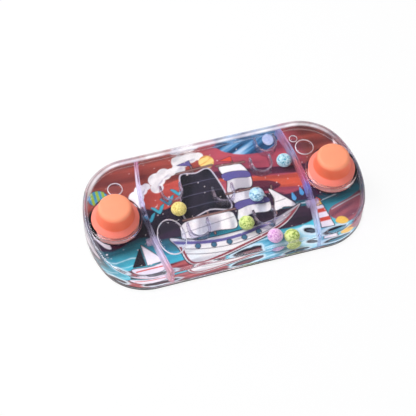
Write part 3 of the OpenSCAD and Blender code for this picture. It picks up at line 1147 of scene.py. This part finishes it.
@dataclass(frozen=True)
class CaseOutline:
    """The plan of the case: four corners and two bowed ends."""

    half_l: float
    half_w: float
    corner_r: float = 25.5
    end_r: float = 54.0
    end_steps: int = 20
    corner_steps: int = 22
    side_steps: int = 12

    def loop(self, inset: float) -> list[Point]:
        """Gives the outline, drawn in by inset.

        Args:
            inset: How far it is drawn in.

        Returns:
            The points anticlockwise, as many for every inset.
        """
        end_x = self.half_l - self.end_r
        corner_y = self.half_w - self.corner_r
        corner_x = end_x + math.sqrt((self.end_r - self.corner_r) ** 2 - corner_y ** 2)
        meet = math.degrees(math.atan2(corner_y, corner_x - end_x))
        end = arc(end_x, 0.0, self.end_r - inset, -meet, self.end_steps, 2 * meet)
        corner = arc(corner_x, corner_y, self.corner_r - inset, meet, self.corner_steps, 90 - meet)[1:]
        y = self.half_w - inset
        side = [(corner_x * (1 - 2 * i / self.side_steps), y) for i in range(1, self.side_steps)]
        right = end + corner
        back = right + side + [(-a, b) for a, b in reversed(right)]
        return back + [(a, -b) for a, b in reversed(corner + side + [(-a, b) for a, b in reversed(corner)])]


class Shaper:
    """Builds a mesh from loops that are joined face by face."""

    def __init__(self) -> None:
        """Starts an empty mesh."""
        self.mesh = bmesh.new()

    def ring(self, points: list[Point], z: float) -> Loop:
        """Adds the corners of a level loop.

        Args:
            points: Its plan.
            z: Its height.

        Returns:
            The new corners.
        """
        return [self.mesh.verts.new((x, y, z)) for x, y in points]

    def belt(self, loops: list[Loop], slots: list[int] | None = None) -> None:
        """Joins each loop to the next by faces, which meet in a fan where one is a single corner.

        Args:
            loops: The loops in order.
            slots: The material slot of each belt, or None for slot 0.
        """
        for belt, (first, second) in enumerate(zip(loops, loops[1:])):
            n = max(len(first), len(second))
            for i in range(n):
                j = (i + 1) % n
                corners = (first[i % len(first)], first[j % len(first)],
                           second[j % len(second)], second[i % len(second)])
                face = self.mesh.faces.new(dict.fromkeys(corners))
                face.material_index = slots[belt] if slots else 0

    def fill(self, loops: list[Loop], slot: int = 0) -> None:
        """Fills a level field inside the first loop and outside the others.

        Args:
            loops: The outer loop, and then the holes.
            slot: The material slot of the faces.
        """
        edges = [self.mesh.edges.get(pair) or self.mesh.edges.new(pair)
                 for loop in loops for pair in zip(loop, loop[1:] + loop[:1])]
        made = bmesh.ops.triangle_fill(self.mesh, use_beauty=True, use_dissolve=False, edges=edges)
        for item in made["geom"]:
            if isinstance(item, bmesh.types.BMFace):
                item.material_index = slot

    def turned(self, x: float, y: float, profile: list[Point], steps: int = 96, close: bool = False,
               slots: list[int] | None = None) -> list[Loop]:
        """Turns a profile of radius and height round an upright axis.

        Args:
            x: The axis.
            y: The axis.
            profile: Radius and height of each loop; a radius of 0 closes the turned shape.
            steps: How many faces go round.
            close: Joins the last loop to the first.
            slots: The material slot of each belt, or None for slot 0.

        Returns:
            The loops, with a single corner where the radius is 0.
        """
        loops = [self.ring(arc(x, y, r, 0, steps, 360)[:-1] if r else [(x, y)], z) for r, z in profile]
        self.belt(loops + loops[:1] if close else loops, slots)
        return loops


@dataclass(frozen=True)
class Case:
    """The clear front shell and back cover, welded at the rim.

    The tables highlight_back, highlight_side and highlight_front give the share of painted highlight on the
    top plate, a white band along the rim, at each distance from the outline: at the back, at the sides and at
    the front.
    Between the two shares of the half width in highlight_turn the sides' share gives way to that of the back
    or the front. The plate has loops of plate_rows: the first distance, the last and how many. The outside
    carries the painted highlight from its belt highlight_from on.
    """

    outline: CaseOutline
    button_x: float
    height: float
    wall: float
    collar_h: float
    back_t: float = 1.8
    top_t: float = 1.8
    top_edge_r: float = 1.4
    back_edge_r: float = 0.8
    inner_edge_r: float = 0.6
    plate_rows: tuple[float, float, int] = (1.5, 4.5, 11)
    # painted highlight along the rim: its share at each distance from the outline
    highlight_back: tuple[Point, ...] = ((0.0, 0.0), (0.4, 0.2), (0.9, 0.6), (1.5, 0.3), (2.1, 0.6), (2.7, 0.95),
                                    (3.3, 0.7), (3.9, 0.2), (4.4, 0.0))
    highlight_side: tuple[Point, ...] = ((0.0, 0.0), (0.2, 0.1), (0.5, 0.32), (1.0, 0.3), (1.4, 0.05),
                                    (1.8, 0.05), (2.1, 0.22), (2.7, 0.0))
    highlight_front: tuple[Point, ...] = ((0.0, 0.0), (0.3, 0.05), (0.8, 0.2), (1.3, 0.15), (1.8, 0.0))
    highlight_turn: Point = (0.25, 0.95)
    highlight_from: int = 5
    support: float = 0.15
    weld_gap: float = 0.03
    weld_edge_r: float = 0.06
    collar_r: float = 13.3
    collar_in_r: float = 11.0
    collar_edge_r: float = 0.2
    collar_foot_r: float = 0.25
    plug_stem_r: float = 3.18
    plug_head_r: float = 4.88
    plug_head_t: float = 1.08
    plug_lead: float = 0.2
    arc_steps: int = 8

    def front_shell(self, dry: Material, wet: Material, rim_highlight_plastic: Material) -> Piece:
        """Builds the front shell.

        Args:
            dry: Plastic against air.
            wet: Plastic against water.
            rim_highlight_plastic: Plastic over the wall, where the top plate runs into it, with the painted
                highlight.

        Returns:
            The finished piece.
        """
        s = Shaper()
        rim_highlight = s.mesh.verts.layers.float.new(RimHighlightPlastic.attribute)
        low, ceiling = self.back_t + self.weld_gap, self.height - self.top_t
        r, e, q = self.top_edge_r, self.weld_edge_r, self.inner_edge_r
        outside = [(self.wall, low), (e, low), (0.0, low + e)]
        outside += arc(r, self.height - r, r, 180, self.arc_steps, -90)
        outside += [(inset, self.height) for inset in np.linspace(*self.plate_rows)]
        inside = [*arc(self.wall + q, ceiling - q, q, 180, self.arc_steps, -90),
                  (self.wall + q + self.support, ceiling)]
        outer, inner = ([s.ring(self.outline.loop(i), z) for i, z in side] for side in (outside, inside))
        for loop, (inset, _) in zip(outer, outside):
            for corner in loop:
                # painted highlight: each corner of the plate gets its share of the white band
                corner[rim_highlight] = self.rim_highlight_share(corner.co.y, inset)
        s.belt(outer, [0 if i < self.highlight_from else 2 for i in range(len(outer) - 1)])
        s.belt([outer[0], *inner], [1] * len(inner))
        collars = [s.turned(side * self.button_x, 0.0, self.collar_profile(ceiling)) for side in (-1, 1)]
        s.fill([outer[-1], *(loops[0] for loops in collars)])
        s.fill([inner[-1], *(loops[-1] for loops in collars)], 1)
        piece = finished_piece("front_shell_moulding", s.mesh, [dry, wet, rim_highlight_plastic])
        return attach(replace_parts(piece, "front_shell"), CASE_BODY)

    def rim_highlight_share(self, y: float, inset: float) -> float:
        """Gives the share of painted highlight on the plate: a broad band at the back, a thin line at the
        front.

        Args:
            y: The place across the case.
            inset: The distance from its outline.

        Returns:
            The share of painted highlight.
        """
        side, end = (float(np.interp(inset, *zip(*table)))
                     for table in (self.highlight_side, self.highlight_back if y > 0 else self.highlight_front))
        turn = float(np.interp(abs(y) / self.outline.half_w, self.highlight_turn, (0.0, 1.0)))
        return side + ease(turn) * (end - side)

    def collar_profile(self, ceiling: float) -> list[Point]:
        """Gives a collar's profile from the top plate, over its rim, to the ceiling.

        Args:
            ceiling: The height of the underside of the top plate.

        Returns:
            Radius and height of each loop.
        """
        top, foot, edge = self.height, self.collar_foot_r, self.collar_edge_r
        out, inn, rim = self.collar_r, self.collar_in_r, self.height + self.collar_h
        return [(out + foot + self.support, top),
                *arc(out + foot, top + foot, foot, 270, self.arc_steps, -90),
                *arc(out - edge, rim - edge, edge, 0, self.arc_steps),
                *arc(inn + edge, rim - edge, edge, 90, self.arc_steps),
                (inn, ceiling + edge), (inn + edge, ceiling), (inn + edge + self.support, ceiling)]

    def back_cover(self, dry: Material) -> Piece:
        """Builds the back cover with the hole for the plug.

        Args:
            dry: Plastic against air.

        Returns:
            The finished piece.
        """
        s = Shaper()
        top, r, e = self.back_t - self.weld_gap, self.back_edge_r, self.weld_edge_r
        head_r, head_t, lead = self.plug_head_r, self.plug_head_t, self.plug_lead
        profile = [(r + self.support, 0.0), *arc(r, r, r, 270, self.arc_steps, -90),
                   (0.0, top - e), (e, top), (self.wall, top), (self.wall + self.support, top)]
        loops = [s.ring(self.outline.loop(i), z) for i, z in profile]
        s.belt(loops)
        bore = s.turned(self.button_x, 0.0, [
            (head_r + lead, 0.0), (head_r, lead), (head_r, head_t), (self.plug_stem_r, head_t),
            (self.plug_stem_r, top)], 64)
        s.fill([loops[0], bore[0]])
        s.fill([loops[-1], bore[-1]])
        piece = finished_piece("back_cover_moulding", s.mesh, [dry])
        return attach(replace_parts(piece, "back_cover"), CASE_BODY)


@dataclass(frozen=True)
class PictureCard:
    """The printed card on the floor of the case: a fine mesh that carries its own picture."""

    outline: CaseOutline
    inset: float
    low: float
    high: float
    step: float = 0.37
    border: Point = (0.08, 1.81)
    border_rows: int = 4
    border_chords: int = 6
    film_t: float = 0.03

    def film(self, s: Shaper) -> None:
        """Adds the thin border of the print, which is pinched in the weld between shell and cover.

        Args:
            s: What takes the closed strip.
        """
        plans = []
        for inset in np.linspace(*self.border, self.border_rows):
            loop = np.array(self.outline.loop(float(inset)))
            chord = (np.roll(loop, -1, 0) - loop) / self.border_chords
            fine = np.stack([loop + i * chord for i in range(self.border_chords)], 1)
            plans.append(fine.reshape(-1, 2).tolist())
        top = [s.ring(plan, self.low + self.film_t / 2) for plan in plans]
        under = [s.ring(plan, self.low - self.film_t / 2) for plan in plans[::-1]]
        s.belt([*top, *under, top[0]], [0] * self.border_rows + [1] * self.border_rows)

    def cells(self) -> tuple[np.ndarray, np.ndarray, list[int]]:
        """Lays square cells over the card and draws their outer corners onto its edge.

        Returns:
            The corners, the four corners of each cell, and the corners along the edge in order.
        """
        loop = np.array(self.outline.loop(self.inset))
        half = loop.max(0)
        counts = np.round(2 * half / self.step).astype(int)
        axes = [np.linspace(-h, h, n + 1) for h, n in zip(half, counts)]
        corners = np.stack([v.ravel() for v in np.meshgrid(*axes, indexing="ij")], 1)
        depth = Painter(corners).shape(loop).reshape(counts + 1)
        i, j = np.nonzero((depth[:-1, :-1] + depth[1:, :-1] + depth[1:, 1:] + depth[:-1, 1:]) > 0)
        row = counts[1] + 1
        first = i * row + j
        cells = np.stack([first, first + row, first + row + 1, first + 1], 1)
        used, cells = np.unique(cells, return_inverse=True)
        corners, cells = corners[used], cells.reshape(-1, 4)
        start, stop = cells.ravel(), np.roll(cells, -1, 1).ravel()
        edge = ~np.isin(start * len(corners) + stop, stop * len(corners) + start)
        after = dict(zip(start[edge].tolist(), stop[edge].tolist()))
        rim = [next(iter(after))]
        while after[rim[-1]] != rim[0]:
            rim.append(after[rim[-1]])
        ahead = np.roll(loop, -1, 0) - loop
        for k in rim:
            t = np.clip(((corners[k] - loop) * ahead).sum(1) / (ahead * ahead).sum(1), 0, 1)[:, None]
            foot = loop + t * ahead
            corners[k] = foot[np.argmin(((foot - corners[k]) ** 2).sum(1))]
        return corners, cells, rim

    def build(self, printed: Material, board: Material) -> Piece:
        """Builds the card.

        Args:
            printed: The printed face, whose ink runs over the cut edge.
            board: The bare underside.

        Returns:
            The finished piece.
        """
        corners, cells, rim = self.cells()
        top = [(x, y, self.high) for x, y in corners]
        low = [(*corners[k], self.low) for k in rim]
        under = list(range(len(top), len(top) + len(low)))
        sides = [(rim[i - 1], under[i - 1], under[i], rim[i]) for i in range(len(rim))]
        data = bpy.data.meshes.new("card_maker")
        data.from_pydata(top + low, [], cells.tolist() + sides + [under[::-1]])
        slots = np.ones(len(data.polygons), int)
        slots[:len(cells) + len(sides)] = 0
        data.polygons.foreach_set("material_index", slots)
        s = Shaper()
        s.mesh.from_mesh(data)
        bpy.data.meshes.remove(data)
        self.film(s)
        piece = finished_piece("printed_sea_card", s.mesh, [printed, board])
        places = np.empty(3 * len(piece.data.vertices))
        piece.data.vertices.foreach_get("co", places)
        picture = SeaPicture(self.outline.loop(0.0))
        colours = picture.paint(places.reshape(-1, 3)[:, :2] / MM)
        layer = piece.data.color_attributes.new(PrintedCard.attribute, "FLOAT_COLOR", "POINT")
        layer.data.foreach_set("color", np.column_stack([colours, np.ones(len(colours))]).ravel())
        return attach(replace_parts(piece, "picture_card"), CASE_BODY)


@dataclass(frozen=True)
class PumpButton:
    """One coral silicone moulding: dome, brim on the collar, neck and clamped flange."""

    side: str
    x: float
    top_z: float
    collar_z: float
    ceiling: float
    clamp_z: float
    top_r: float = 8.6
    base_r: float = 9.5
    edge_r: float = 2.4
    edge_turn: float = 84.0
    crown: float = 0.25
    crown_at: Point = (0.45, 0.25)
    flank: tuple[float, ...] = (0.25, 0.5, 0.75, 0.97)
    wall: float = 1.5
    top_t: float = 2.6
    brim_r: float = 12.05
    brim_h: float = 2.7
    brim_edge: float = 0.62
    brim_bow: float = 0.15
    neck_r: Point = (10.2, 10.97)
    flange_r: float = 11.85
    flange_t: float = 1.0
    flange_edge: float = 0.2
    inner_edge_r: float = 1.2
    inner_slope: float = 0.6
    film: float = 0.05
    fold: Point = (1.05, 3.0)
    steps: int = 12
    ring_r: Triple = (10.2, 12.0, 12.7)
    ring_t: float = 1.15
    ring_edges: Point = (0.15, 0.3)

    def brim(self, foot: float, rim_z: float) -> list[Point]:
        """Gives the slope of the brim, a little bowed, and its round rim.

        Args:
            foot: The height of the foot of the dome.
            rim_z: The height of the top of the rim.

        Returns:
            Radius and height of each loop.
        """
        points = []
        for i in range(1, self.steps):
            part, turn = i / self.steps, math.radians(90 * i / self.steps)
            out, down = (part + self.brim_bow * (bowed - part)
                         for bowed in (math.sin(turn), 1 - math.cos(turn)))
            points.append((self.base_r + (self.brim_r - self.base_r) * out, foot - (foot - rim_z) * down))
        half = (self.brim_edge - self.film) / 2
        return points + arc(self.brim_r - half, rim_z - half, half, 90, self.steps // 2, -180)

    def profile(self) -> list[Point]:
        """Gives the closed profile, from the middle of the top round to the middle of the inside.

        Returns:
            Radius and height of each loop.
        """
        neck_in, neck_out = self.neck_r
        foot, rim_z = self.collar_z + self.brim_h, self.collar_z + self.brim_edge
        crown_r, crown_drop = self.crown_at
        points = [(0.0, self.top_z), (self.top_r * crown_r, self.top_z - crown_drop * self.crown)]
        points += arc(self.top_r - self.edge_r, self.top_z - self.edge_r - self.crown, self.edge_r, 90,
                      self.steps, -self.edge_turn)
        x, z = points[-1]
        points += [(x + (self.base_r - x) * t, z + (foot - z) * t) for t in self.flank]
        points += self.brim(foot, rim_z)
        top, out, edge = self.ceiling - self.film, self.flange_r, self.flange_edge
        low = top - self.flange_t
        points += [(neck_out, self.collar_z + self.film), (neck_out, top), (out - edge, top),
                   (out, top - edge), (out, low + edge), (out - edge, low), (neck_in, low)]
        slope, inside_r, inside_z = self.inner_slope, self.base_r - self.wall, self.top_z - self.top_t
        points += [(neck_in, self.collar_z + slope), (inside_r + slope, foot - slope),
                   (inside_r, foot + slope)]
        r = self.inner_edge_r
        points += arc(self.top_r - self.wall - r, inside_z - r, r, 90 - self.edge_turn, self.steps // 2,
                      self.edge_turn)
        return [*points, (0.0, inside_z)]

    def build(self, silicone: Material) -> Piece:
        """Builds the moulding in one piece, in its place at rest.

        Args:
            silicone: Its material.

        Returns:
            The finished piece.
        """
        s = Shaper()
        s.turned(self.x, 0.0, self.profile())
        piece = finished_piece(f"{self.side}_silicone_button", s.mesh, [silicone], 50.0)
        heights = np.array([v.co.z / MM for v in piece.data.vertices])
        piece.data.attributes.new(Silicone.attribute, "FLOAT", "POINT").data.foreach_set("value", heights)
        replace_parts(piece, f"{self.side}_button", f"{self.side}_button_skirt")
        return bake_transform(piece)

    def clamp_ring(self, wet: Material) -> Piece:
        """Builds the clear ring that clamps the flange.

        Args:
            wet: Plastic against water.

        Returns:
            The finished piece.
        """
        inn, seat, out = self.ring_r
        fine, coarse = self.ring_edges
        top, low = self.ceiling - self.film, self.clamp_z
        step = low + self.ring_t
        s = Shaper()
        s.turned(self.x, 0.0, [
            (inn, low + fine), (inn + fine, low), (out - coarse, low), (out, low + coarse), (out, top),
            (seat, top), (seat, step), (inn, step)], close=True)
        piece = finished_piece(f"{self.side}_clamp_ring_moulding", s.mesh, [wet])
        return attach(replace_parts(piece, f"{self.side}_clamp_ring"), CASE_BODY)


class Wrinkle(Enum):
    """How wide and deep the wrinkles of a ball are, in millimetres."""

    CRUMPLED = (1.25, 0.40)
    FOLDED = (1.9, 0.52)


@dataclass(frozen=True)
class TextureBall:
    """One loose ball with a wrinkled skin, shaped by Geometry Nodes."""

    node: str
    wrinkle: Wrinkle
    seed: float
    skin: BallRubber
    subdivisions: int = 6
    groove_w: float = 0.085
    distortion: float = 0.6
    gap: float = 0.02

    def tree(self, material: Material) -> Tree:
        """Builds the tree that presses the wrinkles in.

        Args:
            material: What the ball is made of.

        Returns:
            The tree, with inputs for the radius, the wrinkles, the seed and the ball's middle.
        """
        tree = bpy.data.node_groups.new(f"{self.node}_wrinkles", "GeometryNodeTree")
        for name in ("Radius", "Wrinkle Width", "Wrinkle Depth", "Seed"):
            tree.interface.new_socket(name=name, in_out="INPUT", socket_type="NodeSocketFloat")
        tree.interface.new_socket(name="Middle", in_out="INPUT", socket_type="NodeSocketVector")
        tree.interface.new_socket(name="Geometry", in_out="OUTPUT", socket_type="NodeSocketGeometry")
        given = add_node(tree, "NodeGroupInput").outputs
        ball = add_node(tree, "GeometryNodeMeshIcoSphere", {
            "Radius": given["Radius"], "Subdivisions": self.subdivisions})
        place = add_node(tree, "GeometryNodeInputPosition")
        scale = add_node(tree, "ShaderNodeMath", (1.0, given["Wrinkle Width"]), operation="DIVIDE")
        lumps = add_node(tree, "ShaderNodeTexNoise", {
            "Vector": place, "W": given["Seed"], "Scale": scale, "Detail": 1.0,
            "Distortion": self.distortion}, noise_dimensions="4D").outputs["Fac"]
        folds = add_node(tree, "ShaderNodeMath", (lumps, 0.5), operation="SUBTRACT")
        ridge = add_node(tree, "ShaderNodeMath", (folds,), operation="ABSOLUTE")
        groove = add_node(tree, "ShaderNodeMapRange", (ridge, 0.0, self.groove_w, 1.0, 0.0),
                          interpolation_type="SMOOTHSTEP")
        stored = add_node(tree, "GeometryNodeStoreNamedAttribute", {
            "Geometry": ball, "Name": BallRubber.attribute, "Value": groove},
                          data_type="FLOAT", domain="POINT")
        sink = add_node(tree, "ShaderNodeMath", (groove, given["Wrinkle Depth"]), operation="MULTIPLY")
        share = add_node(tree, "ShaderNodeMath", (sink, given["Radius"]), operation="DIVIDE")
        kept = add_node(tree, "ShaderNodeMath", (1.0, share), operation="SUBTRACT")
        moved = add_node(tree, "ShaderNodeVectorMath", {0: place, "Scale": kept}, operation="SCALE")
        placed = add_node(tree, "ShaderNodeVectorMath", (moved, given["Middle"]), operation="ADD")
        shaped = add_node(tree, "GeometryNodeSetPosition", {"Geometry": stored, "Position": placed})
        smooth = add_node(tree, "GeometryNodeSetShadeSmooth", {"Geometry": shaped})
        real = add_node(tree, "GeometryNodeRealizeInstances", {"Geometry": smooth})
        dressed = add_node(tree, "GeometryNodeSetMaterial", {"Geometry": real, "Material": material})
        add_node(tree, "NodeGroupOutput", {"Geometry": dressed})
        return tree

    def build(self) -> Piece:
        """Builds the ball in the place of its node.

        Returns:
            The finished piece, riding on its own body.
        """
        low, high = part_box(self.node)
        middle, radius = (low + high) / 2, (high.x - low.x) / 2 - self.gap * MM
        width, depth = self.wrinkle.value
        name = f"{self.node}_maker"
        maker = new_object(name, bpy.data.meshes.new(name))
        modifier = maker.modifiers.new("wrinkles", "NODES")
        modifier.node_group = self.tree(self.skin.build())
        values = {"Radius": radius, "Wrinkle Width": width * MM, "Wrinkle Depth": depth * MM,
                  "Seed": self.seed, "Middle": tuple(middle)}
        for item in modifier.node_group.interface.items_tree:
            if item.in_out == "INPUT":
                modifier[item.identifier] = values[item.name]
        evaluated = maker.evaluated_get(bpy.context.evaluated_depsgraph_get())
        piece = new_object(f"{self.node}_wrinkled", bpy.data.meshes.new_from_object(evaluated))
        bpy.data.objects.remove(maker)
        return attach(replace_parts(piece, self.node), self.node)


@dataclass(frozen=True)
class Bubble:
    """One flat air bubble under the top plate; the belts from the first to the last of bright take the rim
    material, which is painted reflection.
    """

    name: str
    x: float
    y: float
    rx: float
    ry: float
    ceiling: float
    depth: float
    bright: tuple[int, int]
    gap: float = 0.06
    steps: int = 12

    def build(self, air: Material, painted_rim_reflection: Material) -> Piece:
        """Builds the bubble: flat above, with a round edge and a nearly flat floor.

        Args:
            air: Its material.
            painted_rim_reflection: The material of the bright belts, a painted reflection.

        Returns:
            The finished piece.
        """
        s = Shaper()
        top, edge = self.ceiling - self.gap, self.depth / 2
        rim = arc(1 - edge / self.rx, 0, edge / self.rx, 90, self.steps, -180)
        profile = [(0.0, top), *((a, top - edge + b * self.rx) for a, b in rim), (0.0, top - self.depth)]
        first, last = self.bright
        s.turned(0.0, 0.0, profile, 72, slots=[int(first <= i <= last) for i in range(len(profile) - 1)])
        bmesh.ops.scale(s.mesh, vec=(self.rx, self.ry, 1.0), verts=s.mesh.verts)
        bmesh.ops.translate(s.mesh, vec=(self.x, self.y, 0.0), verts=s.mesh.verts)
        piece = finished_piece(self.name, s.mesh, [air, painted_rim_reflection], 60.0)
        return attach(piece, CASE_BODY)


@dataclass(frozen=True)
class Studio:
    """The pale floor, the soft light and the camera at the photograph's angle.

    Each soft box has its name, its place, the side of its square in metres and its power in watts.
    """

    azimuth: float = -18.79
    elevation: float = 57.39
    roll: float = 2.68
    distance: float = 717.84
    aim: Point = (-7.62, 3.06)
    lens: float = 120.6
    sensor: float = 36.0
    clip: Point = (0.01, 50.0)
    floor_drop: float = 0.15
    floor_half: float = 4.0
    sky: str = "f8f8fd"
    sky_strength: float = 0.45
    boxes: tuple[tuple[str, Triple, float, float], ...] = (
        ("overhead_box", (-0.45, 0.35, 0.85), 0.6, 9.8),
        ("side_box", (-0.9, -0.1, 0.6), 0.5, 1.8),
        ("front_box", (0.3, -0.9, 0.5), 0.5, 2.2))

    def camera(self) -> None:
        """Puts the camera at its fitted angles, distance and lens."""
        a, e, r = (math.radians(v) for v in (self.azimuth, self.elevation, self.roll))
        back = Vector((math.sin(a) * math.cos(e), -math.cos(a) * math.cos(e), math.sin(e)))
        right = Vector((math.cos(a), math.sin(a), 0.0))
        up = back.cross(right)
        across = right * math.cos(r) + up * math.sin(r)
        upward = up * math.cos(r) - right * math.sin(r)
        place = (Vector((*self.aim, 0.0)) + back * self.distance) * MM
        data = bpy.data.cameras.new("photo_camera")
        data.lens, data.sensor_width = self.lens, self.sensor
        data.clip_start, data.clip_end = self.clip
        camera = new_object("photo_camera", data)
        camera.matrix_world = Matrix.Translation(place) @ Matrix((across, upward, back)).transposed().to_4x4()
        bpy.context.scene.camera = camera

    def floor(self) -> None:
        """Lays the pale floor just under the case."""
        mesh = bmesh.new()
        bmesh.ops.create_grid(mesh, x_segments=1, y_segments=1, size=self.floor_half)
        data = bpy.data.meshes.new("pale_floor")
        mesh.to_mesh(data)
        mesh.free()
        data.materials.append(PaleFloor().build())
        floor = new_object("pale_floor", data)
        floor.location.z = -self.floor_drop * MM

    def world(self) -> None:
        """Sets the soft light all round, which the camera sees as white."""
        world = bpy.data.worlds.new("soft_studio")
        world.use_nodes = True
        tree = world.node_tree
        tree.nodes.clear()
        seen = add_node(tree, "ShaderNodeLightPath").outputs["Is Camera Ray"]
        soft, white = (add_node(tree, "ShaderNodeBackground", (linear(tone), strength))
                       for tone, strength in ((self.sky, self.sky_strength), (WHITE, 1.0)))
        mixed = add_node(tree, "ShaderNodeMixShader", (seen, soft, white))
        add_node(tree, "ShaderNodeOutputWorld", (mixed,))
        bpy.context.scene.world = world

    def lamp(self, name: str, place: Triple, size: float, power: float) -> None:
        """Hangs a soft box that points at the middle of the case.

        Args:
            name: The lamp's name.
            place: Where it hangs, in metres.
            size: The side of the box, in metres.
            power: Its power in watts.
        """
        data = bpy.data.lights.new(name, "AREA")
        data.shape, data.size, data.energy = "SQUARE", size, power
        lamp = new_object(name, data)
        lamp.location = place
        lamp.rotation_euler = Vector(place).to_track_quat("Z", "Y").to_euler()

    def build(self) -> None:
        """Sets up the camera, the floor and the light."""
        self.camera()
        self.floor()
        self.world()
        for box in self.boxes:
            self.lamp(*box)
        bpy.context.scene.view_settings.view_transform = "Standard"


@dataclass(frozen=True)
class WaterGame:
    """The whole game: it builds each sub-assembly in turn.

    For each divider, the rows give places along it with the colour of its painted reflections, and places
    with how plainly they show.
    """

    card_gap: float = 0.1
    card_play: float = 0.02
    divider_r: float = 150.0
    divider_t: float = 2.0
    highlight_h: float = 0.4
    tube_veil: float = 0.22
    # painted reflections: the colours that each divider shows of the picture around it
    left_reflection_hues: Stops = ((-34, "f0b3b8"), (-25, "e8dcec"), (-12, "d6d4ee"), (2, "bcbbdf"), (12, "e2e6f6"),
                        (22, "e6e2f2"), (34, "d597b6"))
    left_greys: Stops = ((-34, "ffffff"), (-20, "e6e6e6"), (-12, "a8a8a8"), (-5, "6a6a6a"), (5, "747474"),
                         (11, "dedede"), (22, "f4f4f4"), (34, "d0d0d0"))
    right_reflection_hues: Stops = ((-34, "c4e2ec"), (-22, "dde4f4"), (-12, "cfb4dc"), (-4, "7f8cdc"), (3, "ea7aa0"),
                         (11, "f08a86"), (18, "9fc6ea"), (26, "e0a0b8"), (34, "9aa6d8"))
    right_greys: Stops = ((-34, "d8d8d8"), (-18, "cccccc"), (-10, "7c7c7c"), (-4, "e4e4e4"), (4, "b8b8b8"),
                          (14, "d2d2d2"), (24, "c4c4c4"), (34, "ffffff"))

    def build(self) -> None:
        """Builds everything in order."""
        _, shell_high = box_mm("front_shell")
        card_low, card_high = box_mm("picture_card")
        dome_low, dome_high = box_mm("right_button")
        clamp_low, clamp_high = box_mm("right_clamp_ring")
        ceiling, button_x = clamp_high.z, (dome_low.x + dome_high.x) / 2
        height, wall = ceiling + Case.top_t, shell_high.x - card_high.x - self.card_gap
        dry = ClearPlastic(name="clear_polystyrene", ior=PLASTIC_IOR).build()
        wet = ClearPlastic(name="clear_polystyrene_in_water", ior=WET_IOR).build()
        case = Case(CaseOutline(shell_high.x, shell_high.y), button_x, height, wall, shell_high.z - height)
        report(case.front_shell(dry, wet, RimHighlightPlastic().build()))
        report(case.back_cover(dry))
        card = PictureCard(case.outline, case.wall + self.card_play, card_low.z, card_high.z)
        report(card.build(PrintedCard().build(), BareBoard().build()))
        silicone = Silicone().build()
        for side, x in (("left", -button_x), ("right", button_x)):
            button = PumpButton(side, x, dome_high.z, case.height + case.collar_h, ceiling, clamp_low.z)
            report(button.build(silicone))
            report(button.clamp_ring(wet))
        for ball in self.balls():
            report(ball.build())
        # painted reflection: the white rim of each bubble
        air, painted_rim_reflection = AirInWater().build(), BubbleRim().build()
        for bubble in (
                Bubble("large_air_bubble", -32.1, -15.2, 7.2, 10.6, ceiling, 2.2, (4, 7)),
                Bubble("right_air_bubble", 49.1, 18.8, 4.9, 4.9, ceiling, 1.6, (3, 8)),
                Bubble("left_air_bubble", -52.4, 19.6, 3.9, 3.9, ceiling, 1.5, (3, 8)),
                Bubble("small_air_bubble", 45.1, 25.3, 2.2, 2.2, ceiling, 1.2, (3, 8))):
            report(bubble.build(air, painted_rim_reflection))
        skin = BubbleRim(name="pale_bubble_skin", share=0.5,
                         tones=((0.38, "b9c6ea"), (0.6, "dfe6f8"))).build()
        trapped = Bubble("trapped_air_bubble", 32.2, 28.4, 3.0, 3.6, ceiling, 1.5, (0, 14))
        report(trapped.build(skin, skin))
        self.dress_nodes()

    def balls(self) -> list[TextureBall]:
        """Lists the six balls.

        Returns:
            The balls, which are five colours in all.
        """
        # each ball's second colour is painted shade in its grooves
        yellow, blue, aqua, pink, green = (
            BallRubber(name=f"ball_{name}", ridge=ridge, groove=groove) for name, ridge, groove in (
                ("yellow", "fbf39a", "cdbb50"), ("blue", "c2e9f7", "74b2d0"), ("aqua", "cbf1f6", "46a5bb"),
                ("pink", "f6d8f4", "cc8fcf"), ("green", "d8ec96", "8fb246")))
        return [
            TextureBall("yellow_ball", Wrinkle.CRUMPLED, 1.0, yellow),
            TextureBall("blue_ball", Wrinkle.FOLDED, 2.0, blue),
            TextureBall("aqua_ball", Wrinkle.CRUMPLED, 3.0, aqua),
            TextureBall("pink_ball", Wrinkle.CRUMPLED, 4.0, pink),
            TextureBall("green_ball_1", Wrinkle.FOLDED, 5.0, green),
            TextureBall("green_ball_2", Wrinkle.FOLDED, 6.0, green),
        ]

    def dress_nodes(self) -> None:
        """Gives the pieces that keep their own shape their materials."""
        _, pocket_high = box_mm("catch_pocket_1")
        pocket = InnerPlastic(name="edge_highlight_polystyrene",
                              highlight_z=pocket_high.z - self.highlight_h).build()
        # the nozzles take the pale veil evenly all over, as painted highlight
        tube = InnerPlastic(name="clear_tube_polystyrene", highlight_z=pocket_high.z, veil=self.tube_veil,
                            edge_highlight=self.tube_veil).build()
        finishes = {f"catch_pocket_{i}": pocket for i in range(1, 7)}
        finishes.update({"left_nozzle": tube, "right_nozzle": tube, "filling_plug": PlugRubber().build()})
        for node, reflection_hues, greys in (("left_divider", self.left_reflection_hues, self.left_greys),
                                  ("right_divider", self.right_reflection_hues, self.right_greys)):
            low, high = box_mm(node)
            middle_x = max(abs(low.x), abs(high.x)) - self.divider_t / 2
            finishes[node] = DrawnWall(name=f"reflection_streaked_{node}", middle_x=middle_x, radius=self.divider_r,
                                       half_w=high.y, reflection_hues=reflection_hues, greys=greys).build()
        for name, material in finishes.items():
            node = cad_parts[name]
            node.data.materials.clear()
            node.data.materials.append(material)
            LOG.info("dressed %s in %s", name, material.name)


def main() -> None:
    """Builds the studio and the game."""
    Studio().build()
    WaterGame().build()
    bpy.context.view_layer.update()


if __name__ == "__main__":
    main()
